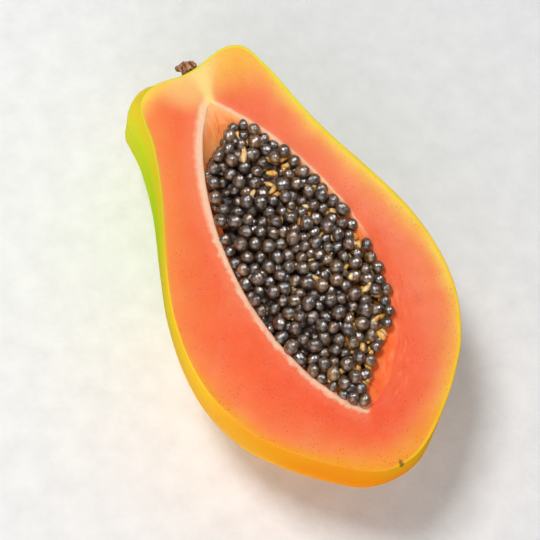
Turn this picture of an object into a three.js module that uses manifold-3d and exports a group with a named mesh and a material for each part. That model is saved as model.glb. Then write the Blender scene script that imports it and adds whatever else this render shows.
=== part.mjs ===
// A papaya cut in half lengthwise, lying on its back with the cut face up.
// Three pieces: the half of the fruit with its seed cavity, the seeds in it, and the stalk's dried stub.
// Millimetres, +Z up. The fruit's length runs along Y with the stalk at +Y, and the origin is under the
// middle of the whole, on the surface that the half lies on.
import * as THREE from "three";
import { mergeVertices } from "three/addons/utils/BufferGeometryUtils.js";
import Module from "manifold-3d";

const wasm = await Module();
wasm.setup();

// Sizes of the fruit
const CUT_HEIGHT = 63; // the cut face above the table
const CUT_REACH = 150; // more than the fruit reaches from the middle
const END_REACH = 90; // distance from the middle to where the end values below apply
const END_POWER = 1.5; // over 1 the middle value holds longer
const AXIS_DROP = { stem: 15, middle: 7.3, blossom: 12.8 }; // the fruit's axis under the cut face
const UNDER_BULGE = { stem: 0.135, middle: 0.006, blossom: 0.085 }; // how much fuller it is below the axis
const UNDER_FULL = 0.5; // sine of the angle below the axis where the bulge is full
const RIDGE_HEIGHT = { stem: 0.016, middle: 0.004, blossom: 0.012 }; // share of the radius
const RIDGES = 5;
const RIDGE_TURN = THREE.MathUtils.degToRad(190);
const SHOULDER_START = 70; // from here to SHOULDER_END the stem end leans to one side
const SHOULDER_END = 98;
const SHOULDER_SKEW = 0.14; // the right shoulder stands higher than the left one
const STEM_SHIFT = 3; // the axis ends this far to the left at the stalk
// The left shoulder is fuller just under the cut face and drawn in lower down
const CHEEK = {
  start: 64, // place along the axis
  full: 88,
  inner: 8, // distance to the left of the axis
  outer: 24,
  rise: 2.7, // towards the stalk
  riseFull: 6, // depths under the cut face
  riseEnds: 20,
  tuck: 1.5, // towards the axis
  tuckStarts: 16,
  tuckFull: 32,
};
const PROFILE_STEPS = 44;
const PROFILE_SIDES = 56;

// The fruit's profile from the hollow at the stalk to the blossom end: radius, place along the axis
const PROFILE = [
  [0, 86],
  [6, 88],
  [13, 93.6],
  [19.5, 97],
  [25.7, 96.8],
  [30.5, 92.8],
  [32.6, 84],
  [35.3, 66],
  [40.2, 48],
  [49.2, 24],
  [55.5, 4.5],
  [58.3, -16],
  [56.6, -35],
  [49.6, -52.8],
  [39.5, -66.2],
  [28.2, -77.5],
  [14.5, -88.6],
  [6, -91.8],
  [0, -92.2],
];

// Sizes of the seed cavity. Its outline on the cut face bows out to each side of a straight line.
const CAVITY = {
  top: 79, // pointed end towards the stalk
  bottom: -63.5,
  line: -1.6, // x of the straight line between the two ends
  depth: 31,
  left: { width: 23.8, towardTop: 0.8, towardBottom: 0.76, wall: 1.4 },
  right: { width: 34.2, towardTop: 0.9, towardBottom: 0.62, wall: 2.6 }, // slopes more gently
  endPower: 1.8, // over 1 the floor rises gently to both ends
  overCut: 10, // the cutting solid stands this far over the cut face
  overPower: 0.25,
  least: 0.1, // smallest width and depth of a ring
  steps: 36,
  sides: 30,
};

// Sizes of the seeds
const SEED = {
  count: 185,
  smallest: 2.35, // radius
  largest: 3.0,
  longer: 1.14, // a seed's length over its width
  closest: 1.03, // seeds settle at this share of touching distance
  settleRounds: 120,
  leastApart: 0.01,
  random: 20,
  bedTop: 67.5, // the first seed lies here
  bedTurn: 2, // to the left of this x the bed ends lower
  bedSlant: 0.78,
  bedEdge: -0.9, // height of the seeds' middles over the cut face, at the cavity's edge
  bedMiddle: 0.7,
  spreadDown: -1.3, // a seed lies between these heights over the bed
  spreadUp: 1.1,
  edgeInside: -0.3, // an edge seed's side stands this far inside the cavity's outline
  bareWidth: 11, // at the lower right the wall shows this wide
  bareStart: -28,
  bareFull: -52,
  wallGap: 0.45,
};

// Sizes of the plain core that the seeds stand out of
const CORE = {
  rows: 26,
  columns: 12,
  underBed: 0.7,
  overhang: 2, // it is trimmed to the cavity
  endInside: 2.4,
};

// Sizes of the stalk's stub
const STUB = {
  base: [-5, 83.5, 49.2],
  tip: [-0.3, 103.8, 50.6],
  neck: 1.5, // radius
  foot: 2, // the two ends are wider than the neck by these factors
  head: 1.3,
  footEnds: 0.5, // shares of the length
  headStarts: 0.6,
  footOver: 0.05, // the ends are domed by these shares of the length
  headOver: 0.04,
  ribs: 6,
  ribHeight: 0.12,
  ribTwist: 2,
  knobs: 2,
  knobRing: 2.7,
  knobRadius: 2,
  knobUneven: 0.28, // knobs are larger on the right and smaller on the left by up to this share
  knobDepth: 0.93, // share of the length
  steps: 7,
  sides: 18,
  gap: 0.45,
};

const SHORTEST_EDGE = 0.02;
const UP = new THREE.Vector3(0, 0, 1);

// Goes smoothly from 0 at low to 1 at high.
function ease(low, high, value) {
  return THREE.MathUtils.smoothstep(value, low, high);
}

// A draw between 0 and 1 from a seeded row of random numbers.
function randomRow(start) {
  let state = start;
  return () => {
    state = (Math.imul(state, 1664525) + 1013904223) >>> 0;
    return state / 2 ** 32;
  };
}

// A value that is given at the stem end, the middle and the blossom end.
function alongFruit(y, { stem, middle, blossom }) {
  const share = THREE.MathUtils.clamp(y / END_REACH, -1, 1);
  const end = share > 0 ? stem : blossom;
  return middle + (end - middle) * Math.abs(share) ** END_POWER;
}

// Depth of the axis under the cut face: a parabola through its three given values.
function axisDrop(y) {
  const share = y / END_REACH;
  const { stem, middle, blossom } = AXIS_DROP;
  return middle + ((stem - blossom) / 2) * share + ((stem + blossom) / 2 - middle) * share ** 2;
}

// The fruit's skin at a place on its profile and an angle round the axis.
function skinPoint(radius, y, angle) {
  const ridges = alongFruit(y, RIDGE_HEIGHT) * Math.cos(RIDGES * (angle - RIDGE_TURN));
  const under = alongFruit(y, UNDER_BULGE) * ease(0, UNDER_FULL, -Math.sin(angle));
  const reach = radius * (1 + ridges + under);
  const lean = ease(SHOULDER_START, SHOULDER_END, y);
  const across = reach * Math.cos(angle);
  const x = across - STEM_SHIFT * lean;
  const depth = axisDrop(y) - reach * Math.sin(angle);
  const cheek = ease(CHEEK.start, CHEEK.full, y) * ease(CHEEK.inner, CHEEK.outer, -x);
  const rise = CHEEK.rise * ease(0, CHEEK.riseFull, depth) * (1 - ease(CHEEK.riseFull, CHEEK.riseEnds, depth));
  const tuck = CHEEK.tuck * ease(CHEEK.tuckStarts, CHEEK.tuckFull, depth);
  return new THREE.Vector3(
    x + tuck * cheek,
    y + SHOULDER_SKEW * across * lean + rise * cheek,
    CUT_HEIGHT - depth,
  );
}

// A closed solid from rings of points that run from one end point to the other.
function ringSolid(first, rings, last) {
  const sides = rings[0].length;
  const points = [first, ...rings.flat(), last];
  const faces = [];
  const at = (ring, side) => 1 + ring * sides + (side % sides);
  for (let side = 0; side < sides; side++) {
    faces.push(0, at(0, side), at(0, side + 1));
    faces.push(points.length - 1, at(rings.length - 1, side + 1), at(rings.length - 1, side));
    for (let ring = 0; ring < rings.length - 1; ring++) {
      faces.push(at(ring, side), at(ring + 1, side), at(ring + 1, side + 1));
      faces.push(at(ring, side), at(ring + 1, side + 1), at(ring, side + 1));
    }
  }
  const geometry = new THREE.BufferGeometry().setFromPoints(points);
  geometry.setIndex(faces);
  return solidOf(geometry);
}

// A three.js geometry as a manifold solid, turned to face outwards.
function solidOf(geometry) {
  const plain = geometry.clone();
  plain.deleteAttribute("normal");
  plain.deleteAttribute("uv");
  const merged = mergeVertices(plain);
  const vertProperties = merged.attributes.position.array;
  const triVerts = new Uint32Array(merged.index.array);
  const solid = new wasm.Manifold(new wasm.Mesh({ numProp: 3, vertProperties, triVerts }));
  if (solid.volume() > 0) return solid;
  return new wasm.Manifold(new wasm.Mesh({ numProp: 3, vertProperties, triVerts: triVerts.toReversed() }));
}

// A manifold solid as a three.js geometry.
function geometryOf(solid) {
  const { vertProperties, triVerts } = solid.getMesh();
  const geometry = new THREE.BufferGeometry();
  geometry.setAttribute("position", new THREE.BufferAttribute(new Float32Array(vertProperties), 3));
  geometry.setIndex(new THREE.BufferAttribute(new Uint32Array(triVerts), 1));
  geometry.computeVertexNormals();
  return geometry;
}

// The largest connected body of a solid, without the very short edges that booleans leave.
function largestOf(solid) {
  const largest = solid.decompose().sort((a, b) => b.volume() - a.volume())[0];
  return largest.simplify(SHORTEST_EDGE);
}

// A box between two corners.
function boxSolid(low, high) {
  const size = new THREE.Vector3().subVectors(high, low);
  const middle = new THREE.Vector3().addVectors(low, high).multiplyScalar(0.5);
  return solidOf(new THREE.BoxGeometry(...size.toArray()).translate(...middle.toArray()));
}

// The fruit before it was cut: its profile turned round the axis.
function wholeFruit() {
  const profile = new THREE.SplineCurve(PROFILE.map(([radius, y]) => new THREE.Vector2(radius, y)));
  const places = profile.getPoints(PROFILE_STEPS);
  const rings = places.slice(1, -1).map(({ x: radius, y }) => {
    const turn = (side) => (2 * Math.PI * side) / PROFILE_SIDES;
    return Array.from({ length: PROFILE_SIDES }, (_, side) => skinPoint(radius, y, turn(side)));
  });
  const first = skinPoint(0, places[0].y, 0);
  const last = skinPoint(0, places[PROFILE_STEPS].y, 0);
  return ringSolid(first, rings, last);
}

// How far the cavity's outline bows out at a share of its length: a power of the distance to each end.
function bow(share, { width, towardTop, towardBottom }) {
  const widest = towardTop / (towardTop + towardBottom);
  const rise = (share / widest) ** towardTop;
  const fall = ((1 - share) / (1 - widest)) ** towardBottom;
  return width * rise * fall;
}

// How far along the cavity a place lies: 0 at the stalk's end, 1 at the blossom's.
function cavityShare(y) {
  return THREE.MathUtils.clamp((CAVITY.top - y) / (CAVITY.top - CAVITY.bottom), 0, 1);
}

// A point of the cavity's ring at a share of its length: a trough below the cut face, a box over it.
function cavityPoint(share, angle, gap) {
  const { top, bottom, line, depth, least } = CAVITY;
  const side = Math.cos(angle) > 0 ? CAVITY.right : CAVITY.left;
  const wide = Math.sign(Math.cos(angle)) * Math.max(bow(share, side) - gap, least);
  const deep = Math.max(depth * (4 * share * (1 - share)) ** CAVITY.endPower - gap, least);
  const near = Math.abs(Math.cos(angle));
  const rise = Math.sin(angle);
  const across = rise > 0 ? near ** CAVITY.overPower : near;
  const height = rise > 0 ? CAVITY.overCut * rise : -deep * (-rise) ** side.wall;
  return new THREE.Vector3(line + wide * across, top + (bottom - top) * share, CUT_HEIGHT + height);
}

// The space of the cavity, smaller by a gap all round, and open over the cut face.
function cavitySpace(gap) {
  const { top, bottom, line, steps, sides } = CAVITY;
  const rings = [];
  for (let step = 1; step < steps; step++) {
    const share = (1 - Math.cos((Math.PI * step) / steps)) / 2;
    const turn = (side) => (2 * Math.PI * (side + 0.5)) / sides;
    rings.push(Array.from({ length: sides }, (_, side) => cavityPoint(share, turn(side), gap)));
  }
  return ringSolid(
    new THREE.Vector3(line, top - 2 * gap, CUT_HEIGHT),
    rings,
    new THREE.Vector3(line, bottom + 2 * gap, CUT_HEIGHT),
  );
}

// The part of the fruit between the table and the cut face, without the cavity.
function fruitHalf(fruit) {
  const low = new THREE.Vector3(-CUT_REACH, -CUT_REACH, 0);
  const high = new THREE.Vector3(CUT_REACH, CUT_REACH, CUT_HEIGHT);
  return fruit.intersect(boxSolid(low, high)).subtract(cavitySpace(0));
}

// Whether a place on the cut face lies inside the cavity's outline.
function isOverCavity(x, y) {
  const side = x > CAVITY.line ? CAVITY.right : CAVITY.left;
  return Math.abs(x - CAVITY.line) < bow(cavityShare(y), side);
}

// Height of the seed bed over the cut face: low along the cavity's edge and highest in the middle.
function bedHeight(x, y) {
  const side = x > CAVITY.line ? CAVITY.right : CAVITY.left;
  const across = Math.abs(x - CAVITY.line) / Math.max(bow(cavityShare(y), side), 1);
  const open = Math.max(1 - Math.min(across, 1) ** 2, 0);
  return SEED.bedEdge + (SEED.bedMiddle - SEED.bedEdge) * open;
}

// How far the seeds' end at the stalk steps back towards the left.
function stepBack(x) {
  return SEED.bedSlant * Math.max(SEED.bedTurn - x, 0);
}

// Width of the wall that shows at the lower right.
function bareWall(y) {
  return SEED.bareWidth * ease(-SEED.bareStart, -SEED.bareFull, -y);
}

// Keeps a seed inside the cavity's outline and near the bed.
function keepInBed(seed) {
  const highest = SEED.bedTop - stepBack(seed.x) - seed.radius;
  seed.y = THREE.MathUtils.clamp(seed.y, CAVITY.bottom + seed.radius + SEED.wallGap, highest);
  const share = cavityShare(seed.y);
  const margin = seed.radius + SEED.edgeInside;
  const left = CAVITY.line - Math.max(bow(share, CAVITY.left) - margin, 0);
  const right = CAVITY.line + Math.max(bow(share, CAVITY.right) - margin - bareWall(seed.y), 0);
  seed.x = THREE.MathUtils.clamp(seed.x, left, right);
  const bed = bedHeight(seed.x, seed.y);
  seed.z = THREE.MathUtils.clamp(seed.z, bed + SEED.spreadDown, bed + SEED.spreadUp);
}

// Strews the seeds over the bed and lets them push each other apart until they lie side by side.
function settledSeeds() {
  const random = randomRow(SEED.random);
  const between = (low, high) => low + (high - low) * random();
  const seeds = [];
  while (seeds.length < SEED.count) {
    const x = CAVITY.line + between(-CAVITY.left.width, CAVITY.right.width);
    const y = between(CAVITY.bottom, SEED.bedTop);
    const z = bedHeight(x, y) + between(SEED.spreadDown, SEED.spreadUp);
    const radius = between(SEED.smallest, SEED.largest);
    if (isOverCavity(x, y)) seeds.push({ radius, x, y, z });
  }
  for (let round = 0; round < SEED.settleRounds; round++) {
    const pushes = seeds.map((seed) => {
      const push = new THREE.Vector3();
      for (const other of seeds) {
        const apart = new THREE.Vector3(seed.x - other.x, seed.y - other.y, seed.z - other.z);
        const wanted = (seed.radius + other.radius) * SEED.closest;
        const distance = apart.length();
        if (other !== seed && distance < wanted) {
          push.addScaledVector(apart, (0.5 * (wanted - distance)) / Math.max(distance, SEED.leastApart));
        }
      }
      return push;
    });
    seeds.forEach((seed, index) => {
      seed.x += pushes[index].x;
      seed.y += pushes[index].y;
      seed.z += pushes[index].z;
      keepInBed(seed);
    });
  }
  return seeds;
}

// The mass under the seeds, up to just below their middles.
function seedCore() {
  const { rows, columns, overhang } = CORE;
  const bottom = CUT_HEIGHT - CAVITY.depth - overhang;
  const low = CAVITY.bottom + SEED.wallGap;
  const high = SEED.bedTop - CORE.endInside;
  const rings = [];
  for (let row = 0; row <= rows; row++) {
    const y = high + ((low - high) * row) / rows;
    const share = cavityShare(y);
    const left = CAVITY.line - bow(share, CAVITY.left) - overhang;
    const right = CAVITY.line + bow(share, CAVITY.right) - bareWall(y);
    const back = (x) => y - stepBack(x) * (1 - row / rows);
    const ring = [right, left].map((x) => new THREE.Vector3(x, back(x), bottom));
    for (let column = 0; column <= columns; column++) {
      const x = left + ((right - left) * column) / columns;
      ring.push(new THREE.Vector3(x, back(x), CUT_HEIGHT + bedHeight(x, y) - CORE.underBed));
    }
    rings.push(ring);
  }
  const middleOf = (ring) => new THREE.Vector3(CAVITY.line, ring[0].y, (bottom + CUT_HEIGHT) / 2);
  return ringSolid(middleOf(rings[0]), rings, middleOf(rings[rows]));
}

// One seed: a slightly long ball at a drawn turn.
function seedBall(seed, random) {
  const turn = new THREE.Euler(2 * Math.PI * random(), Math.PI * random(), 2 * Math.PI * random());
  const ball = new THREE.IcosahedronGeometry(1, 0);
  ball.applyMatrix4(
    new THREE.Matrix4().compose(
      new THREE.Vector3(seed.x, seed.y, CUT_HEIGHT + seed.z),
      new THREE.Quaternion().setFromEuler(turn),
      new THREE.Vector3(SEED.longer, 1, 1).multiplyScalar(seed.radius),
    ),
  );
  return solidOf(ball);
}

// All seeds and the mass under them as one body, clear of the cavity's wall.
function seedMass() {
  const random = randomRow(SEED.random + 1);
  const balls = settledSeeds().map((seed) => seedBall(seed, random));
  const joined = balls.reduce((mass, ball) => mass.add(ball), seedCore());
  return largestOf(joined.intersect(cavitySpace(SEED.wallGap)));
}

// The stalk's broken stub: a ribbed neck that widens to a lumpy end.
function stalkStub(fruit) {
  const base = new THREE.Vector3(...STUB.base);
  const tip = new THREE.Vector3(...STUB.tip);
  const along = new THREE.Vector3().subVectors(tip, base).normalize();
  const across = new THREE.Vector3().crossVectors(along, UP).normalize();
  const over = new THREE.Vector3().crossVectors(across, along);
  const place = (share, radius, angle) =>
    new THREE.Vector3()
      .lerpVectors(base, tip, share)
      .addScaledVector(across, radius * Math.cos(angle))
      .addScaledVector(over, radius * Math.sin(angle));
  const rings = [];
  for (let step = 0; step <= STUB.steps; step++) {
    const share = step / STUB.steps;
    const foot = (STUB.foot - 1) * (1 - ease(0, STUB.footEnds, share));
    const head = (STUB.head - 1) * ease(STUB.headStarts, 1, share);
    const wide = STUB.neck * (1 + foot + head);
    rings.push(
      Array.from({ length: STUB.sides }, (_, side) => {
        const angle = (2 * Math.PI * side) / STUB.sides;
        const ribs = 1 + STUB.ribHeight * Math.cos(STUB.ribs * angle + STUB.ribTwist * share);
        return place(share, wide * ribs, angle);
      }),
    );
  }
  let stub = ringSolid(place(-STUB.footOver, 0, 0), rings, place(1 + STUB.headOver, 0, 0));
  for (let knob = 0; knob < STUB.knobs; knob++) {
    const angle = (2 * Math.PI * knob) / STUB.knobs;
    const larger = 1 + STUB.knobUneven * Math.cos(angle);
    const centre = place(STUB.knobDepth, STUB.knobRing, angle);
    const ball = new THREE.IcosahedronGeometry(STUB.knobRadius * larger, 1);
    stub = stub.add(solidOf(ball.translate(...centre.toArray())));
  }
  return largestOf(stub.subtract(fruit.translate([0, STUB.gap, 0])));
}

// A named mesh of a solid with a plain material.
function piece(name, solid, color, roughness) {
  const material = new THREE.MeshStandardMaterial({ color, roughness, metalness: 0 });
  const mesh = new THREE.Mesh(geometryOf(solid), material);
  mesh.name = name;
  return mesh;
}

// Moves the whole so that the origin is under the middle of its bounding box.
function centreOverOrigin(group) {
  const box = new THREE.Box3().setFromObject(group);
  const middle = box.getCenter(new THREE.Vector3());
  group.children.forEach((mesh) => mesh.position.set(-middle.x, -middle.y, -box.min.z));
}

const fruit = wholeFruit();
const papaya = new THREE.Group();
papaya.add(piece("fruit_half", fruitHalf(fruit), 0xf2703c, 0.5));
papaya.add(piece("seeds", seedMass(), 0x2b2320, 0.3));
papaya.add(piece("stalk_stub", stalkStub(fruit), 0x8a5a36, 0.9));
centreOverOrigin(papaya);

export default papaya;
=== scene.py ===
"""Half a ripe papaya with its seeds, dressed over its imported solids.

Shapes are worked out in millimetres in the fruit's own frame, with y along the axis towards the stalk,
x across and z up from the table, and are put into the shared frame in metres by ``to_frame``.
"""

import logging
import math
from dataclasses import dataclass, field
from enum import Enum

import bmesh
import bpy
import numpy as np
from mathutils import Matrix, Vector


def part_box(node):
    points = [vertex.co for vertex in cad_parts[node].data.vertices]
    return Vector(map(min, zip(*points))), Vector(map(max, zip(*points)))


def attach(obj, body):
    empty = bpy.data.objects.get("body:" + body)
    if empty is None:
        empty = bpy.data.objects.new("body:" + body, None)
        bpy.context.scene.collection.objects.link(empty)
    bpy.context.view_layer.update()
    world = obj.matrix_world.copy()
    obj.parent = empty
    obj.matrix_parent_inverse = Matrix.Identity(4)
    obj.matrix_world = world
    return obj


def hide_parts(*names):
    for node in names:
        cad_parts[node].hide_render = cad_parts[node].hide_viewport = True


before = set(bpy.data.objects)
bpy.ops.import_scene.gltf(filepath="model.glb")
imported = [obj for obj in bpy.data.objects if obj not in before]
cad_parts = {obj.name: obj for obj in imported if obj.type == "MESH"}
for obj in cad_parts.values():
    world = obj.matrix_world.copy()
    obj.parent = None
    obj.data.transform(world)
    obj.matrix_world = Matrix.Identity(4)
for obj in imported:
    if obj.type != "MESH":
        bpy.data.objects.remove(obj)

LOG = logging.getLogger("papaya")
Array = np.ndarray
Triple = tuple[float, float, float]
Piece, Material, Socket = bpy.types.Object, bpy.types.Material, bpy.types.NodeSocket
SHIFT_MM = (0.17435, -6.20431, 0.0)  # from the fruit's own frame to the shared one
MM = 0.001
CUT_HEIGHT = 63.0  # of the cut face over the table


class Slot(Enum):
    """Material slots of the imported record."""

    FRUIT = "fruit"
    SEED = "seed"
    STALK = "stalk"


def inside_box(points: Array, node: str) -> Array:
    """Keeps points inside a solid's own box, in millimetres of the fruit's frame.

    Args:
        points: Points in millimetres.
        node: The solid's name.

    Returns:
        The points, clipped to the box.
    """
    low, high = (np.array(corner) / MM - np.array(SHIFT_MM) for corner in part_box(node))
    return np.clip(points, low, high)


def to_frame(points: Array) -> Array:
    """Moves points from the fruit's own frame to the shared frame: (p + shift) / 1000.

    Args:
        points: Points in millimetres, with x, y, z on the last axis.

    Returns:
        The points in metres.
    """
    return (np.asarray(points, float) + np.array(SHIFT_MM)) * MM


def srgb(red: float, green: float, blue: float, alpha: float = 1.0) -> tuple[float, float, float, float]:
    """Turns a screen colour of 0 to 255 into linear light, with the usual curve of power 2.4.

    Args:
        red: Red.
        green: Green.
        blue: Blue.
        alpha: Opacity from 0 to 1.

    Returns:
        The linear colour.
    """
    shares = np.array([red, green, blue]) / 255.0
    linear = np.where(shares <= 0.04045, shares / 12.92, ((shares + 0.055) / 1.055) ** 2.4)
    return (float(linear[0]), float(linear[1]), float(linear[2]), alpha)


def smooth_step(low: float, high: float, value: Array) -> Array:
    """Goes from 0 at low to 1 at high by 3s² - 2s³.

    Args:
        low: Where the rise begins.
        high: Where the rise ends.
        value: The values to ease.

    Returns:
        Shares from 0 to 1.
    """
    share = np.clip((np.asarray(value, float) - low) / (high - low), 0.0, 1.0)
    return share * share * (3.0 - 2.0 * share)


def random_row(start: int, count: int) -> Array:
    """Draws numbers from 0 to 1 by the rule next = (1664525 · last + 1013904223) mod 2³².

    Args:
        start: The number that the row starts from.
        count: How many numbers are drawn.

    Returns:
        The drawn numbers.
    """
    state = start
    drawn = []
    for _ in range(count):
        state = (state * 1664525 + 1013904223) % 2**32
        drawn.append(state / 2**32)
    return np.array(drawn)


def wave_noise(points: Array, size: float, seed: int, waves: int = 14) -> Array:
    """A smooth random field: the mean of sines that run in random directions.

    Args:
        points: Points in millimetres.
        size: The usual distance between two crests.
        seed: Seed of the draw.
        waves: How many sines are added.

    Returns:
        One value per point, mostly between -1 and 1.
    """
    draw = np.random.default_rng(seed)
    ways = draw.normal(size=(waves, 3))
    ways *= (2.0 * math.pi / size) / np.linalg.norm(ways, axis=1, keepdims=True)
    ways *= draw.uniform(0.6, 1.5, size=(waves, 1))
    phases = draw.uniform(0.0, 2.0 * math.pi, size=waves)
    return np.sin(points @ ways.T + phases).sum(axis=-1) * math.sqrt(2.0 / waves) * 0.7


def gap_to_line(points: Array, line: Array) -> Array:
    """The distance from each point to the nearest point of a closed line, both seen from above.

    Args:
        points: Points with x and y first.
        line: Corners of the closed line.

    Returns:
        One distance per point.
    """
    start = line[:, :2]
    way = np.roll(start, -1, axis=0) - start
    length = np.maximum((way**2).sum(axis=1), 1e-9)
    nearest = np.full(len(points), np.inf)
    for begin in range(0, len(points), 2000):
        part = points[begin : begin + 2000, None, :2] - start[None]
        share = np.clip((part * way).sum(axis=-1) / length, 0.0, 1.0)
        off = part - share[..., None] * way
        nearest[begin : begin + 2000] = np.sqrt((off**2).sum(axis=-1).min(axis=1))
    return nearest


def grid_faces(rows: int, columns: int, first: int = 0) -> Array:
    """Four-sided faces of a grid of points, row after row, whose last column joins its first.

    Args:
        rows: Rows of points.
        columns: Points in a row.
        first: Index of the grid's first point.

    Returns:
        Corner indices, one face per line.
    """
    row = np.arange(rows - 1)[:, None]
    column = np.arange(columns)[None, :]
    after = (column + 1) % columns
    below = (row + 1) * columns
    corners = (row * columns + column, row * columns + after, below + after, below + column)
    return np.stack(np.broadcast_arrays(*corners), axis=-1).reshape(-1, 4) + first


def tube_faces(rows: int, columns: int) -> list:
    """Faces of a tube that is closed by two more points, one before its first row and one after its last.

    Args:
        rows: Rows of points.
        columns: Points in a row.

    Returns:
        Corner indices of each face, with the two end points counted after the grid.
    """
    column = np.arange(columns)
    after = (column + 1) % columns
    last = (rows - 1) * columns
    end = np.full(columns, rows * columns)
    faces = grid_faces(rows, columns).tolist()
    faces += np.stack([after, column, end], axis=1).tolist()
    faces += np.stack([last + column, last + after, end + 1], axis=1).tolist()
    return faces


def ball(around: int, rings: int) -> tuple[Array, list]:
    """A ball of a few dozen faces: rings of points between two poles on the x axis.

    Args:
        around: Points in a ring.
        rings: Number of rings.

    Returns:
        Points on the unit ball, poles last, and faces that look outwards.
    """
    height = np.cos(np.linspace(0.0, math.pi, rings + 2)[1:-1])
    turn = np.linspace(0.0, 2.0 * math.pi, around, endpoint=False)
    width = np.sqrt(1.0 - height**2)[:, None]
    along = np.broadcast_to(height[:, None], (rings, around))
    body = np.stack([along, width * np.cos(turn), width * np.sin(turn)], axis=-1).reshape(-1, 3)
    points = np.vstack([body, [[1.0, 0.0, 0.0], [-1.0, 0.0, 0.0]]])
    return points, [face[::-1] for face in tube_faces(rings, around)]


def turns_about(axis: int, angles: Array) -> Array:
    """Turning matrices about one axis, by the right-hand rule.

    Args:
        axis: 0, 1 or 2 for x, y or z.
        angles: The angles.

    Returns:
        One matrix per angle.
    """
    first, second = (axis + 1) % 3, (axis + 2) % 3
    made = np.zeros((len(angles), 3, 3))
    made[:, axis, axis] = 1.0
    made[:, first, first] = made[:, second, second] = np.cos(angles)
    made[:, second, first] = np.sin(angles)
    made[:, first, second] = -np.sin(angles)
    return made


def repeated_faces(faces: list, points: int, count: int) -> list:
    """The faces of a shape that is repeated, with the corner indices of each copy.

    Args:
        faces: Faces of one shape, of three or four corners.
        points: Points of one shape.
        count: How many copies there are.

    Returns:
        The faces of all copies.
    """
    offsets = (np.arange(count) * points)[:, None, None]
    repeated = []
    for corners in (4, 3):
        chosen = np.array([face for face in faces if len(face) == corners])
        repeated += (chosen[None] + offsets).reshape(-1, corners).tolist()
    return repeated


def placed(*columns: Array) -> Matrix:
    """The matrix that puts an object in place.

    Args:
        *columns: Its x, y and z directions and its place.

    Returns:
        The matrix.
    """
    turned = np.eye(4)
    turned[:3] = np.stack([np.asarray(column, float) for column in columns], axis=1)
    return Matrix(turned.tolist())


@dataclass
class Skin:
    """A mesh made from arrays: points, faces, each face's finish and each point's fields."""

    points: Array
    faces: list
    finish: list = field(default_factory=list)
    fields: dict = field(default_factory=dict)

    def build(self, name: str, materials: list) -> Piece:
        """Makes the Blender object, smooth, at the origin and unturned.

        Args:
            name: The object's name.
            materials: Its materials in slot order.

        Returns:
            The new object.
        """
        mesh = bpy.data.meshes.new(name)
        mesh.from_pydata(to_frame(self.points).tolist(), [], self.faces)
        for material in materials:
            mesh.materials.append(material)
        if len(self.finish):
            mesh.polygons.foreach_set("material_index", np.asarray(self.finish, np.int32))
        for key, values in self.fields.items():
            layer = mesh.attributes.new(key, "FLOAT", "POINT")
            layer.data.foreach_set("value", np.asarray(values, np.float32))
        mesh.polygons.foreach_set("use_smooth", np.ones(len(mesh.polygons), bool))
        mesh.validate()
        mesh.update()
        piece = bpy.data.objects.new(name, mesh)
        bpy.context.scene.collection.objects.link(piece)
        return piece


def mend_faces(piece: Piece) -> None:
    """Turns a closed piece's faces outwards, and cuts those of more than four corners into triangles.

    Args:
        piece: The piece.
    """
    mesh = bmesh.new()
    mesh.from_mesh(piece.data)
    bmesh.ops.recalc_face_normals(mesh, faces=mesh.faces[:])
    many = [face for face in mesh.faces if len(face.verts) > 4]
    if many:
        bmesh.ops.triangulate(mesh, faces=many)
    mesh.to_mesh(piece.data)
    mesh.free()


# Finishes


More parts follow.
